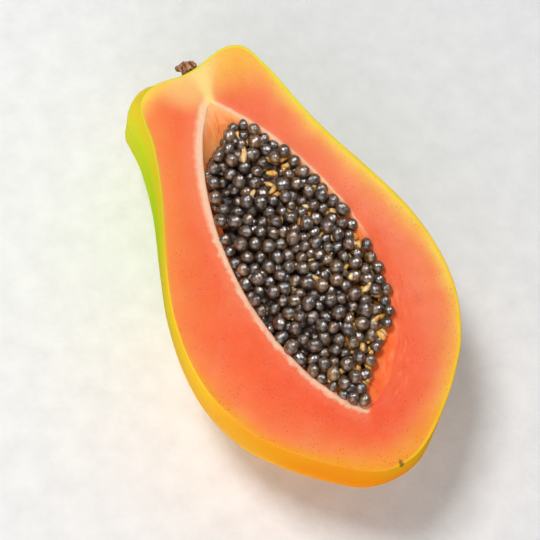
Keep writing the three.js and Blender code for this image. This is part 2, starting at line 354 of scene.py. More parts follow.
class Nodes:
    """A material's node tree, with short calls to add nodes and join them."""

    def __init__(self, name: str) -> None:
        """Starts an empty material.

        Args:
            name: The material's name.
        """
        self.material = bpy.data.materials.new(name)
        self.material.use_nodes = True
        self.tree = self.material.node_tree
        self.tree.nodes.clear()
        self.shader = self.add("ShaderNodeBsdfPrincipled")
        output = self.add("ShaderNodeOutputMaterial")
        self.tree.links.new(self.shader.outputs["BSDF"], output.inputs["Surface"])
        self.place = self.add("ShaderNodeTexCoord").outputs["Object"]
        self.colour: Socket | None = None

    def add(self, kind: str, inputs: dict | None = None) -> bpy.types.Node:
        """Adds a node of the given kind.

        Args:
            kind: Blender's name for the node.
            inputs: Sockets or plain values by the names of its inputs.

        Returns:
            The node.
        """
        node = self.tree.nodes.new(kind)
        for name, source in (inputs or {}).items():
            self.join(source, node.inputs[name])
        return node

    def join(self, source: object, target: Socket) -> None:
        """Links a socket to a target, or sets the target where the source is a plain value.

        Args:
            source: A socket, a number or a colour.
            target: The input socket.
        """
        if isinstance(source, Socket):
            self.tree.links.new(source, target)
        else:
            target.default_value = source

    def value(self, name: str) -> Socket:
        """Reads a mesh field.

        Args:
            name: The field's name.

        Returns:
            The field's value.
        """
        node = self.add("ShaderNodeAttribute")
        node.attribute_name = name
        return node.outputs["Fac"]

    def math(self, operation: str, first: object, second: object = 0.0, third: object = 0.0) -> Socket:
        """Works out one step of arithmetic.

        Args:
            operation: Blender's name for the operation.
            first: First operand.
            second: Second operand.
            third: Third operand.

        Returns:
            The result.
        """
        node = self.add("ShaderNodeMath")
        node.operation = operation
        for source, target in zip((first, second, third), node.inputs):
            self.join(source, target)
        return node.outputs[0]

    def spread(
        self, value: object, low: object, high: object, to_low: float = 0.0, to_high: float = 1.0
    ) -> Socket:
        """Maps low..high smoothly to to_low..to_high.

        Args:
            value: The value to map.
            low: Start of the range.
            high: End of the range.
            to_low: Result at the start.
            to_high: Result at the end.

        Returns:
            The mapped value.
        """
        node = self.add("ShaderNodeMapRange")
        node.interpolation_type = "SMOOTHSTEP"
        for source, target in zip((value, low, high, to_low, to_high), node.inputs):
            self.join(source, target)
        return node.outputs[0]

    def times(self, first: object, second: object) -> Socket:
        """Multiplies two values.

        Args:
            first: One value.
            second: The other.

        Returns:
            The product.
        """
        return self.math("MULTIPLY", first, second)

    def over(self, axis: str, low: float, high: float, *ends: float) -> Socket:
        """Maps a stretch of one coordinate smoothly to 0..1, or to the two given ends.

        Args:
            axis: X, Y or Z.
            low: Start of the stretch in metres.
            high: End of the stretch.
            *ends: Results at the start and at the end.

        Returns:
            The mapped value.
        """
        return self.spread(self.axis(axis), low, high, *ends)

    def axis(self, name: str) -> Socket:
        """Reads one coordinate of the place on the piece, in metres.

        Args:
            name: X, Y or Z.

        Returns:
            The coordinate.
        """
        return self.add("ShaderNodeSeparateXYZ", {"Vector": self.place}).outputs[name]

    def stretched(self, scale: Triple) -> Socket:
        """The place on the piece with each axis scaled, for patterns that are longer one way.

        Args:
            scale: Factors for x, y and z.

        Returns:
            The scaled place.
        """
        return self.add("ShaderNodeMapping", {"Scale": scale, "Vector": self.place}).outputs[0]

    def noise(self, scale: float, detail: float, place: Socket | None = None, twist: float = 0.0) -> Socket:
        """Cloudy noise from 0 to 1.

        Args:
            scale: Clouds per metre.
            detail: Octaves.
            place: Where it is read, or the place on the piece.
            twist: How much it is distorted.

        Returns:
            The noise.
        """
        inputs = {"Scale": scale, "Detail": detail, "Distortion": twist, "Vector": place or self.place}
        return self.add("ShaderNodeTexNoise", inputs).outputs["Fac"]

    def cells(self, scale: float) -> Socket:
        """Distance to the nearest of randomly strewn points.

        Args:
            scale: Points per metre.

        Returns:
            The distance, as a share of a cell.
        """
        return self.add("ShaderNodeTexVoronoi", {"Scale": scale, "Vector": self.place}).outputs["Distance"]

    def ramp(self, value: object, stops: tuple) -> Socket:
        """A colour from a value by straight blends between stops.

        Args:
            value: A value from 0 to 1.
            stops: Place, red, green and blue of each stop, the colours from 0 to 255.

        Returns:
            The colour.
        """
        node = self.add("ShaderNodeValToRGB")
        band = node.color_ramp.elements
        while len(band) < len(stops):
            band.new(1.0)
        for element, (place, *colour) in zip(band, stops):
            element.position = place
            element.color = srgb(*colour)
        self.join(value, node.inputs["Fac"])
        return node.outputs["Color"]

    def mix(self, share: object, first: object, second: object) -> Socket:
        """Blends two colours.

        Args:
            share: Share of the second colour.
            first: First colour.
            second: Second colour.

        Returns:
            The blended colour.
        """
        node = self.add("ShaderNodeMix")
        node.data_type = "RGBA"
        for source, index in ((share, 0), (first, 6), (second, 7)):
            self.join(source, node.inputs[index])
        return node.outputs[2]

    def bump(self, height: Socket, depth: float, under: Socket | None = None) -> Socket:
        """A bumpy normal from a height field.

        Args:
            height: The height, from 0 to 1.
            depth: Metres between height 0 and 1.
            under: A normal to add to, or none.

        Returns:
            The normal.
        """
        inputs = {"Distance": depth, "Strength": 1.0, "Height": height}
        if under is not None:
            inputs["Normal"] = under
        return self.add("ShaderNodeBump", inputs).outputs["Normal"]

    def paint(self, share: Socket, red: float, green: float, blue: float) -> None:
        """Mixes a screen colour into the colour so far.

        Args:
            share: Its share.
            red: Red, from 0 to 255.
            green: Green.
            blue: Blue.
        """
        self.colour = self.mix(share, self.colour, srgb(red, green, blue))

    def finish(self, roughness: Socket, normal: Socket, **plain: float) -> Material:
        """Sets the shader's inputs, with the colour so far as its base colour.

        Args:
            roughness: Roughness.
            normal: Normal.
            **plain: Further shader inputs by name, with spaces as underscores, as plain values.

        Returns:
            The finished material.
        """
        linked = {"Base Color": self.colour, "Roughness": roughness, "Normal": normal}
        for name, source in {**linked, "Coat Normal": normal}.items():
            self.join(source, self.shader.inputs[name])
        for name, value in plain.items():
            self.shader.inputs[name.replace("_", " ")].default_value = value
        return self.material


@dataclass(frozen=True)
class SkinColours:
    """The skin's colours along the fruit, shared by the skin and by its thin edge on the cut face."""

    start: float = -0.098
    end: float = 0.090
    edge: tuple = srgb(252, 208, 30)
    edge_low: tuple = srgb(254, 162, 34)
    edge_stem: tuple = srgb(246, 222, 40)
    stops: tuple = (
        (0.0, 253, 144, 4), (0.09, 253, 148, 6), (0.17, 254, 166, 16), (0.28, 254, 182, 50),
        (0.38, 244, 186, 52), (0.49, 220, 186, 42), (0.60, 192, 190, 30), (0.70, 174, 202, 10),
        (0.81, 180, 210, 10), (0.92, 204, 212, 40), (1.0, 222, 214, 58),
    )

    def along(self, nodes: Nodes) -> Socket:
        """The colour by the place along the fruit, clouded so that no edge is straight.

        Args:
            nodes: The tree to add to.

        Returns:
            The colour.
        """
        clouds = nodes.times(nodes.math("SUBTRACT", nodes.noise(24.0, 4.0), 0.5), 0.04)
        drift = nodes.math("ADD", nodes.axis("Y"), clouds)
        share = nodes.spread(drift, self.start, self.end)
        share.node.interpolation_type = "LINEAR"
        return nodes.ramp(share, self.stops)

    def rim(self, nodes: Nodes) -> Socket:
        """The bright yellow of the skin where it is cut.

        Args:
            nodes: The tree to add to.

        Returns:
            The colour.
        """
        low = nodes.times(nodes.over("Y", -0.03, -0.06), nodes.over("X", 0.012, -0.02))
        below = nodes.mix(low, self.edge, self.edge_low)
        return nodes.mix(nodes.over("Y", 0.02, 0.07), below, self.edge_stem)


def paint_scar(nodes: Nodes) -> None:
    """Paints the blossom's scar: a ragged, olive brown stain, full at its middle and gone at its edge.

    Args:
        nodes: The tree to add to.
    """
    speckle = nodes.math("SUBTRACT", nodes.noise(900.0, 4.0, twist=0.6), 0.5)
    ragged = nodes.math("MULTIPLY_ADD", speckle, 1.6, nodes.value("scar"))
    nodes.paint(nodes.spread(ragged, 0.25, 0.65, 0.0, 0.9), 140, 104, 18)


@dataclass(frozen=True)
class SkinFinish:
    """Thin waxy skin: lime at the stalk, orange at the blossom end, with small dots and a few scuffs."""

    colours: SkinColours = SkinColours()
    roughness: float = 0.40

    def make(self) -> Material:
        """Builds the material.

        Returns:
            The material.
        """
        nodes = Nodes("papaya_skin")
        nodes.colour = self.colours.along(nodes)
        near_cut = nodes.over("Z", 0.050, 0.0632)
        near_cut = nodes.times(near_cut, nodes.over("Y", 0.0, 0.04, 0.6, 0.28))
        nodes.colour = nodes.mix(near_cut, nodes.colour, self.colours.rim(nodes))
        seam = nodes.times(nodes.over("Z", 0.0535, 0.0628), nodes.over("X", 0.0, -0.015, 0.0, 0.62))
        seam = nodes.times(seam, nodes.over("Y", 0.02, 0.05))
        nodes.paint(seam, 228, 182, 46)
        under = nodes.times(nodes.over("Z", 0.052, 0.034), nodes.over("Y", 0.0, -0.03, 0.0, 0.4))
        nodes.paint(under, 254, 198, 88)
        blotch = nodes.spread(nodes.noise(38.0, 5.0, twist=0.6), 0.54, 0.74)
        nodes.paint(nodes.times(blotch, 0.3), 240, 176, 30)
        dots = nodes.spread(nodes.cells(330.0), 0.05, 0.16, 1.0, 0.0)
        sparse = nodes.spread(nodes.noise(120.0, 2.0), 0.5, 0.62)
        dots = nodes.times(dots, sparse)
        nodes.paint(nodes.times(dots, 0.3), 196, 150, 30)
        scuff = nodes.spread(nodes.noise(60.0, 6.0, nodes.stretched((1.0, 0.25, 1.0)), 1.2), 0.70, 0.82)
        nodes.paint(nodes.times(scuff, 0.25), 170, 140, 50)
        paint_scar(nodes)
        fine = nodes.bump(nodes.noise(900.0, 3.0), 0.00006)
        broad = nodes.bump(nodes.noise(55.0, 4.0), 0.0008, fine)
        normal = nodes.bump(dots, 0.00012, broad)
        rough = nodes.spread(nodes.noise(90.0, 4.0), 0.3, 0.7, self.roughness - 0.07, self.roughness + 0.1)
        return nodes.finish(
            rough, normal, Specular_IOR_Level=0.0, Coat_Weight=0.07, Coat_Roughness=0.3,
            Coat_IOR=1.45, Subsurface_Weight=0.1, Subsurface_Scale=0.004,
        )


def paint_fibres(nodes: Nodes, share: Socket) -> None:
    """Paints pale and dark fibres that run along the cavity's rim.

    Args:
        nodes: The tree to add to.
        share: Where they show, from 0 to 1.
    """
    inputs = {name: nodes.times(nodes.axis(name), 0.22) for name in ("X", "Y")}
    inputs["Z"] = nodes.times(nodes.value("rim_gap"), MM)
    strand = nodes.noise(620.0, 4.0, nodes.add("ShaderNodeCombineXYZ", inputs).outputs["Vector"], 0.6)
    pale = nodes.times(nodes.spread(strand, 0.54, 0.70, 0.0, 0.25), share)
    dark = nodes.times(nodes.spread(strand, 0.47, 0.33, 0.0, 0.5), share)
    nodes.paint(pale, 254, 168, 124)
    nodes.paint(dark, 232, 80, 40)


@dataclass(frozen=True)
class FleshFinish:
    """Moist cut flesh: skin edge, yellow band, orange and salmon flesh, pale lines round the cavity."""

    colours: SkinColours = SkinColours()
    band: float = 20.0
    left: tuple = (
        (0.0, 243, 176, 48), (0.04, 244, 158, 54), (0.09, 248, 140, 62), (0.20, 250, 131, 64),
        (0.38, 247, 121, 58), (0.62, 248, 112, 56), (1.0, 249, 102, 54),
    )
    left_low: tuple = (
        (0.0, 250, 172, 40), (0.09, 250, 160, 34), (0.15, 252, 150, 58), (0.25, 254, 138, 72),
        (0.43, 253, 122, 66), (0.66, 253, 110, 58), (1.0, 253, 98, 50),
    )
    right: tuple = (
        (0.0, 254, 222, 62), (0.08, 254, 216, 72), (0.14, 254, 202, 82), (0.21, 254, 182, 86),
        (0.32, 254, 158, 86), (0.43, 253, 142, 86), (0.62, 252, 128, 82), (1.0, 250, 118, 76),
    )

    def make(self) -> Material:
        """Builds the material from the gaps to the skin and to the cavity.

        Returns:
            The material.
        """
        nodes = Nodes("papaya_flesh")
        clouds = nodes.math("SUBTRACT", nodes.noise(70.0, 4.0), 0.5)
        true_gap = nodes.value("skin_gap")
        inward = nodes.spread(true_gap, 0.5, 9.0, 0.6, 7.0)
        share = nodes.math("DIVIDE", nodes.math("MULTIPLY_ADD", clouds, inward, true_gap), self.band)
        rim_gap = nodes.value("rim_gap")
        right = nodes.times(nodes.over("X", -0.02, 0.03), nodes.over("Y", -0.050, -0.072, 1.0, 0.4))
        right = nodes.math("MAXIMUM", right, nodes.over("Y", 0.074, 0.086, 0.0, 0.9))
        low = nodes.over("Y", 0.004, -0.034)
        left_side = nodes.mix(low, nodes.ramp(share, self.left), nodes.ramp(share, self.left_low))
        nodes.colour = nodes.mix(right, left_side, nodes.ramp(share, self.right))
        crest = nodes.over("Y", 0.066, 0.090)
        crest = nodes.times(crest, nodes.over("X", -0.010, 0.010, 0.0, 0.85))
        nodes.paint(crest, 254, 188, 58)
        tail = nodes.times(nodes.over("Y", -0.074, -0.094), nodes.spread(share, 0.75, 0.05))
        nodes.paint(nodes.times(tail, 0.8), 252, 158, 24)
        # Redder flesh close to the lower part of the cavity
        reach = nodes.over("Y", -0.03, -0.062, 9.0, 20.0)
        near_rim = nodes.spread(nodes.math("MULTIPLY_ADD", clouds, 8.0, rim_gap), reach, 0.0)
        deep = nodes.over("Y", 0.01, -0.06, 0.1, 0.75)
        nodes.paint(nodes.times(near_rim, deep), 250, 84, 44)
        patch = nodes.spread(nodes.noise(34.0, 3.0, twist=0.4), 0.42, 0.72, 0.0, 0.35)
        nodes.paint(patch, 250, 92, 52)
        veil = nodes.noise(48.0, 5.0, nodes.stretched((1.0, 0.6, 1.0)), 0.8)
        nodes.paint(nodes.spread(veil, 0.56, 0.78, 0.0, 0.22), 253, 158, 108)
        grain = nodes.noise(1100.0, 2.0)
        nodes.paint(nodes.spread(grain, 0.5, 0.8, 0.0, 0.16), 255, 160, 118)
        specks = nodes.spread(nodes.cells(760.0), 0.08, 0.3, 1.0, 0.0)
        specks = nodes.times(specks, nodes.spread(nodes.noise(170.0, 2.0), 0.42, 0.62))
        specks = nodes.times(specks, nodes.over("Y", 0.04, 0.0, 0.34, 0.66))
        nodes.paint(specks, 206, 52, 22)
        slope = nodes.times(nodes.spread(rim_gap, 7.0, 0.0), nodes.value("slope"))
        nodes.paint(nodes.times(slope, 0.9), 246, 104, 56)
        paint_fibres(nodes, nodes.times(nodes.spread(rim_gap, 11.0, 3.0), nodes.value("slope")))
        # Pale tissue: a line round the cavity, broad on the left, and a cord from it to the stalk's notch
        width = nodes.value("rim_width")
        ragged = nodes.math("SUBTRACT", nodes.noise(380.0, 4.0), 0.5)
        ragged = nodes.times(ragged, nodes.value("rim_ragged"))
        gap = nodes.math("ADD", nodes.math("DIVIDE", rim_gap, width), ragged)
        line = nodes.spread(gap, 0.45, 1.2, 1.0, 0.0)
        pale = nodes.mix(nodes.over("Y", 0.064, 0.082), srgb(255, 206, 172), srgb(254, 216, 146))
        halo = nodes.times(nodes.spread(gap, 0.8, 3.0, 0.32, 0.0), nodes.value("rim_strength"))
        nodes.paint(halo, 253, 160, 116)
        nodes.paint(nodes.value("halo"), 254, 204, 124)
        nodes.colour = nodes.mix(nodes.times(line, nodes.value("rim_strength")), nodes.colour, pale)
        nodes.paint(nodes.value("cord"), 254, 222, 134)
        # The skin's own thin edge
        edge_width = nodes.over("X", -0.03, 0.03, 0.45, 1.25)
        edge_inner = nodes.times(edge_width, 0.6)
        edge_outer = nodes.times(edge_width, 1.6)
        edge = nodes.spread(true_gap, edge_inner, edge_outer, 1.0, 0.0)
        neck = nodes.times(nodes.over("Y", 0.0, 0.03), nodes.over("X", 0.01, -0.01))
        bright = nodes.math("MULTIPLY_ADD", neck, -0.6, 0.8)
        edge_colour = nodes.mix(bright, self.colours.along(nodes), self.colours.rim(nodes))
        nodes.colour = nodes.mix(edge, nodes.colour, edge_colour)
        paint_scar(nodes)
        fine = nodes.bump(nodes.noise(1500.0, 3.0), 0.00010)
        pores = nodes.bump(nodes.noise(420.0, 4.0), 0.00020, fine)
        normal = nodes.bump(nodes.noise(45.0, 2.0), 0.0006, pores)
        rough = nodes.spread(nodes.noise(150.0, 4.0), 0.3, 0.7, 0.42, 0.6)
        return nodes.finish(
            rough, normal, Specular_IOR_Level=0.2, Specular_Tint=(1.0, 0.8, 0.66, 1.0),
            Subsurface_Weight=0.15, Subsurface_Scale=0.006,
        )


@dataclass(frozen=True)
class WallFinish:
    """The cavity's own wall: soft orange, stringy and wet, with a painted glow and painted cream light on
    its upper part.
    """

    def make(self) -> Material:
        """Builds the material.

        Returns:
            The material.
        """
        nodes = Nodes("papaya_cavity_wall")
        strings = nodes.noise(240.0, 4.0, nodes.stretched((1.0, 0.35, 1.0)), 0.8)
        upper = nodes.ramp(strings, ((0.3, 252, 138, 72), (0.5, 254, 150, 84), (0.72, 255, 172, 108)))
        lower = nodes.ramp(strings, ((0.3, 240, 86, 36), (0.5, 244, 100, 46), (0.72, 250, 124, 66)))
        nodes.colour = nodes.mix(nodes.over("Y", 0.03, -0.03), upper, lower)
        near_rim = nodes.spread(nodes.value("rim_gap"), 0.2, 2.6, 0.8, 0.0)
        pale = nodes.times(near_rim, nodes.value("rim_strength"))
        paint_fibres(nodes, nodes.value("slope"))
        # Cream painted light on the upper wall beside the seeds, lifting it where it lies in shade.
        painted_wall_light = nodes.times(nodes.over("Y", 0.064, 0.054, 0.0, 0.32), nodes.over("Y", 0.02, 0.05))
        nodes.paint(painted_wall_light, 255, 214, 140)
        nodes.paint(pale, 255, 200, 140)
        normal = nodes.bump(strings, 0.0005, nodes.bump(nodes.noise(900.0, 3.0), 0.0001))
        rough = nodes.spread(nodes.noise(200.0, 3.0), 0.3, 0.7, 0.32, 0.52)
        # The emission is painted light: a faint orange glow that lifts the wall where it lies in shade.
        return nodes.finish(
            rough, normal, Specular_IOR_Level=0.2, Specular_Tint=(1.0, 0.8, 0.6, 1.0),
            Subsurface_Weight=0.4, Subsurface_Scale=0.012, Emission_Color=srgb(255, 132, 66),
            Emission_Strength=0.14,
        )


@dataclass(frozen=True)
class SeedFinish:
    """Near black seeds, each with its own tone, in a wet and slightly milky coat."""

    plum: tuple = (
        (0.0, 22, 13, 10), (0.4, 60, 36, 24), (0.75, 104, 68, 48), (1.0, 166, 120, 90),
    )
    olive: tuple = (
        (0.0, 26, 16, 6), (0.4, 72, 48, 14), (0.75, 122, 88, 28), (1.0, 172, 132, 58),
    )

    def make(self) -> Material:
        """Builds the material from each seed's tone, which is lower for the lower seeds as painted shade.

        Returns:
            The material.
        """
        nodes = Nodes("papaya_seeds")
        # Each seed's own random tone, darkened for the lower seeds as painted shade.
        tone = nodes.value("seed_tone_and_shade")
        cool, warm = nodes.ramp(tone, self.plum), nodes.ramp(tone, self.olive)
        nodes.colour = nodes.mix(nodes.value("seed_hue"), cool, warm)
        cloud = nodes.spread(nodes.noise(560.0, 5.0, twist=1.0), 0.46, 0.64)
        nodes.paint(nodes.times(cloud, 0.62), 172, 120, 62)
        dark = nodes.spread(nodes.noise(300.0, 2.0, twist=0.8), 0.44, 0.58)
        nodes.paint(nodes.times(dark, 0.72), 18, 11, 9)
        pit = nodes.spread(nodes.noise(1300.0, 3.0), 0.5, 0.66)
        nodes.paint(nodes.times(pit, 0.6), 22, 15, 10)
        wrinkle = nodes.noise(800.0, 1.5, twist=0.6)
        normal = nodes.bump(wrinkle, 0.00032, nodes.bump(nodes.noise(1900.0, 1.0), 0.00005))
        rough = nodes.spread(nodes.noise(800.0, 3.0), 0.35, 0.65, 0.25, 0.5)
        return nodes.finish(
            rough, normal, Specular_IOR_Level=0.4, Coat_Weight=1.0, Coat_Roughness=0.28,
            Coat_IOR=2.1, Coat_Tint=(1.0, 0.92, 0.8, 1.0),
        )


@dataclass(frozen=True)
class BedFinish:
    """What shows between the seeds: a sheet painted near black as shade between them, with painted brown
    and orange glints, turning amber towards the right.
    """

    def make(self) -> Material:
        """Builds the material.

        Returns:
            The material.
        """
        nodes = Nodes("papaya_seed_bed")
        glint = nodes.noise(420.0, 4.0, twist=0.6)
        # Near black is painted shade between the seeds; the brown and orange spots are painted glints, and
        # the colour turns amber towards the right.
        dark = nodes.ramp(glint, ((0.4, 14, 10, 8), (0.6, 40, 24, 12), (0.78, 170, 96, 30)))
        amber = nodes.ramp(glint, ((0.34, 40, 20, 8), (0.5, 176, 98, 36), (0.66, 236, 166, 82)))
        nodes.colour = nodes.mix(nodes.over("X", 0.004, 0.018, 0.0, 0.9), dark, amber)
        normal = nodes.bump(glint, 0.0005)
        rough = nodes.spread(nodes.noise(600.0, 2.0), 0.3, 0.7, 0.3, 0.55)
        return nodes.finish(rough, normal, Specular_IOR_Level=0.4)


@dataclass(frozen=True)
class PulpFinish:
    """Pale to deep orange, wet strands and lumps of pulp."""

    def make(self) -> Material:
        """Builds the material.

        Returns:
            The material.
        """
        nodes = Nodes("papaya_pulp")
        fibre = nodes.noise(900.0, 3.0, nodes.stretched((1.0, 0.3, 1.0)), 0.5)
        cream = nodes.ramp(fibre, ((0.3, 240, 176, 112), (0.5, 252, 208, 146), (0.7, 255, 230, 176)))
        amber = nodes.ramp(fibre, ((0.3, 226, 140, 44), (0.5, 246, 174, 70), (0.7, 254, 208, 116)))
        nodes.colour = nodes.mix(nodes.value("pulp_tone"), cream, amber)
        normal = nodes.bump(fibre, 0.0002)
        rough = nodes.spread(nodes.noise(700.0, 2.0), 0.3, 0.7, 0.25, 0.45)
        return nodes.finish(
            rough, normal, Specular_IOR_Level=0.4, Subsurface_Weight=0.3,
            Subsurface_Scale=0.003, Coat_Weight=0.3, Coat_Roughness=0.2,
        )


@dataclass(frozen=True)
class StalkFinish:
    """Dry, rough, ribbed brown stalk, with painted highlights on its raised grain and painted shade in its
    crevices.
    """

    def make(self) -> Material:
        """Builds the material.

        Returns:
            The material.
        """
        nodes = Nodes("papaya_stalk")
        grain = nodes.noise(700.0, 5.0, nodes.stretched((1.0, 0.3, 1.0)), 0.6)
        # Brown of the dry stalk by its grain; the pale tan where the grain is raised is a painted
        # highlight.
        nodes.colour = nodes.ramp(grain, ((0.3, 92, 56, 36), (0.5, 168, 114, 80), (0.68, 232, 188, 150)))
        # Dark patches painted as shade in the stalk's crevices.
        crevice_shade = nodes.spread(nodes.noise(500.0, 3.0), 0.3, 0.5, 0.6, 0.0)
        nodes.paint(crevice_shade, 60, 34, 24)
        normal = nodes.bump(grain, 0.0005, nodes.bump(nodes.noise(2400.0, 3.0), 0.00012))
        rough = nodes.spread(grain, 0.3, 0.7, 0.75, 0.95)
        return nodes.finish(rough, normal, Specular_IOR_Level=0.25)


@dataclass(frozen=True)
class FloorFinish:
    """A plain pale tabletop with a faint grain."""

    def make(self) -> Material:
        """Builds the material.

        Returns:
            The material.
        """
        nodes = Nodes("pale_table")
        grain = nodes.noise(90.0, 6.0)
        nodes.colour = nodes.ramp(grain, ((0.3, 236, 236, 236), (0.7, 246, 246, 246)))
        normal = nodes.bump(nodes.noise(420.0, 4.0), 0.0002)
        rough = nodes.spread(grain, 0.3, 0.7, 0.6, 0.75)
        return nodes.finish(rough, normal, Specular_IOR_Level=0.3)


# Shapes


@dataclass(frozen=True)
class EndValues:
    """A value at the stalk's end, the middle and the blossom end."""

    stem: float
    middle: float
    blossom: float


@dataclass(frozen=True)
class FruitShape:
    """The whole fruit as a surface of profile place and angle, in millimetres."""

    reach: float = 90.0
    drop: EndValues = EndValues(15.0, 7.3, 12.8)
    bulge: EndValues = EndValues(0.135, 0.006, 0.085)
    ridge: EndValues = EndValues(0.016, 0.004, 0.012)
    ridges: int = 5
    ridge_turn: float = math.radians(190.0)
    shoulder: tuple[float, float] = (70.0, 98.0)
    skew: float = 0.14
    stem_shift: float = 3.0
    cheek_along: tuple[float, float] = (64.0, 88.0)
    cheek_across: tuple[float, float] = (8.0, 24.0)
    cheek_rise: float = 2.7
    rise_depths: tuple[float, float] = (6.0, 20.0)
    cheek_tuck: float = 1.5
    tuck_depths: tuple[float, float] = (16.0, 32.0)
    profile: tuple = (
        (0, 86), (6, 88), (13, 93.6), (19.5, 97), (25.7, 96.8), (30.5, 92.8), (32.6, 84), (35.3, 66),
        (40.2, 48), (49.2, 24), (55.5, 4.5), (58.3, -16), (56.6, -35), (49.6, -52.8), (39.5, -66.2),
        (28.2, -77.5), (14.5, -88.6), (6, -91.8), (0, -92.2),
    )

    def curve(self, steps: int) -> Array:
        """The profile as a smooth curve through its points, by the uniform cubic that passes through each.

        Args:
            steps: Steps along the curve.

        Returns:
            Radius and place along the axis, steps + 1 of them.
        """
        points = np.array(self.profile, float)
        last = len(points) - 1
        place = np.linspace(0.0, last, steps + 1)
        index = np.minimum(place.astype(int), last - 1)
        share = (place - index)[:, None]
        before, start = points[np.maximum(index - 1, 0)], points[index]
        end, after = points[index + 1], points[np.minimum(index + 2, last)]
        rise, fall = (end - before) / 2.0, (after - start) / 2.0
        cubic = (2 * start - 2 * end + rise + fall) * share**3
        square = (3 * end - 3 * start - 2 * rise - fall) * share**2
        return cubic + square + rise * share + start

    def along(self, y: Array, values: EndValues) -> Array:
        """A value between its middle and end values, by the distance from the middle to the power 1.5.

        Args:
            y: Place along the axis.
            values: The three values.

        Returns:
            The value at each place.
        """
        share = np.clip(y / self.reach, -1.0, 1.0)
        end = np.where(share > 0, values.stem, values.blossom)
        return values.middle + (end - values.middle) * np.abs(share) ** 1.5

    def axis_drop(self, y: Array) -> Array:
        """Depth of the axis under the cut face: a parabola through its three values.

        Args:
            y: Place along the axis.

        Returns:
            The depth.
        """
        share = y / self.reach
        slope = (self.drop.stem - self.drop.blossom) / 2.0
        bend = (self.drop.stem + self.drop.blossom) / 2.0 - self.drop.middle
        return self.drop.middle + slope * share + bend * share**2

    def surface(self, radius: Array, y: Array, angle: Array) -> Array:
        """Points of the skin: a circle round the axis with five low ridges, fuller below.

        The left shoulder is fuller just under the cut face and drawn in lower down.

        Args:
            radius: Radius of the profile.
            y: Place along the axis.
            angle: Angle round the axis from +x towards +z.

        Returns:
            The points.
        """
        ridges = self.along(y, self.ridge) * np.cos(self.ridges * (angle - self.ridge_turn))
        under = self.along(y, self.bulge) * smooth_step(0.0, 0.5, -np.sin(angle))
        reach = radius * (1.0 + ridges + under)
        lean = smooth_step(*self.shoulder, y)
        across = reach * np.cos(angle)
        x = across - self.stem_shift * lean
        depth = self.axis_drop(y) - reach * np.sin(angle)
        cheek = smooth_step(*self.cheek_along, y) * smooth_step(*self.cheek_across, -x)
        rise = smooth_step(0.0, self.rise_depths[0], depth) * (1.0 - smooth_step(*self.rise_depths, depth))
        x = x + self.cheek_tuck * smooth_step(*self.tuck_depths, depth) * cheek
        y = y + self.skew * across * lean + self.cheek_rise * rise * cheek
        return np.stack([x, y, CUT_HEIGHT - depth], axis=-1)


@dataclass(frozen=True)
class CavitySide:
    """One side of the cavity: its greatest width, its taper to both ends and its wall's steepness."""

    width: float
    toward_top: float
    toward_bottom: float
    wall: float


@dataclass(frozen=True)
class CavityShape:
    """The seed cavity: an outline that bows out on each side of a line, and a rounded trough below."""

    top: float = 79.0
    bottom: float = -63.5
    line: float = -1.6
    depth: float = 31.0
    left: CavitySide = CavitySide(23.8, 0.8, 0.76, 1.4)
    right: CavitySide = CavitySide(34.2, 0.9, 0.62, 2.6)
    end_power: float = 1.8

    def share(self, y: Array) -> Array:
        """How far along the cavity a place is, from 0 at the top to 1 at the bottom.

        Args:
            y: Place along the axis.

        Returns:
            The shares.
        """
        return np.clip((self.top - np.asarray(y, float)) / (self.top - self.bottom), 0.0, 1.0)

    def bow(self, share: Array, side: CavitySide) -> Array:
        """Width of one side: (s/m)^a · ((1-s)/(1-m))^b times its greatest, with m = a / (a + b).

        Args:
            share: Shares of the cavity's length.
            side: The side.

        Returns:
            The widths.
        """
        widest = side.toward_top / (side.toward_top + side.toward_bottom)
        rise = (share / widest) ** side.toward_top
        fall = ((1.0 - share) / (1.0 - widest)) ** side.toward_bottom
        return side.width * rise * fall

    def half_width(self, x: Array, y: Array) -> Array:
        """Width of the side that a point is on.

        Args:
            x: Across.
            y: Along.

        Returns:
            The widths.
        """
        share = self.share(y)
        return np.where(x > self.line, self.bow(share, self.right), self.bow(share, self.left))

    def deep(self, share: Array) -> Array:
        """Depth of the trough at a share of its length: depth · (4s(1-s))^power.

        Args:
            share: Shares of the cavity's length.

        Returns:
            The depths.
        """
        return self.depth * np.maximum(4.0 * share * (1.0 - share), 0.0) ** self.end_power


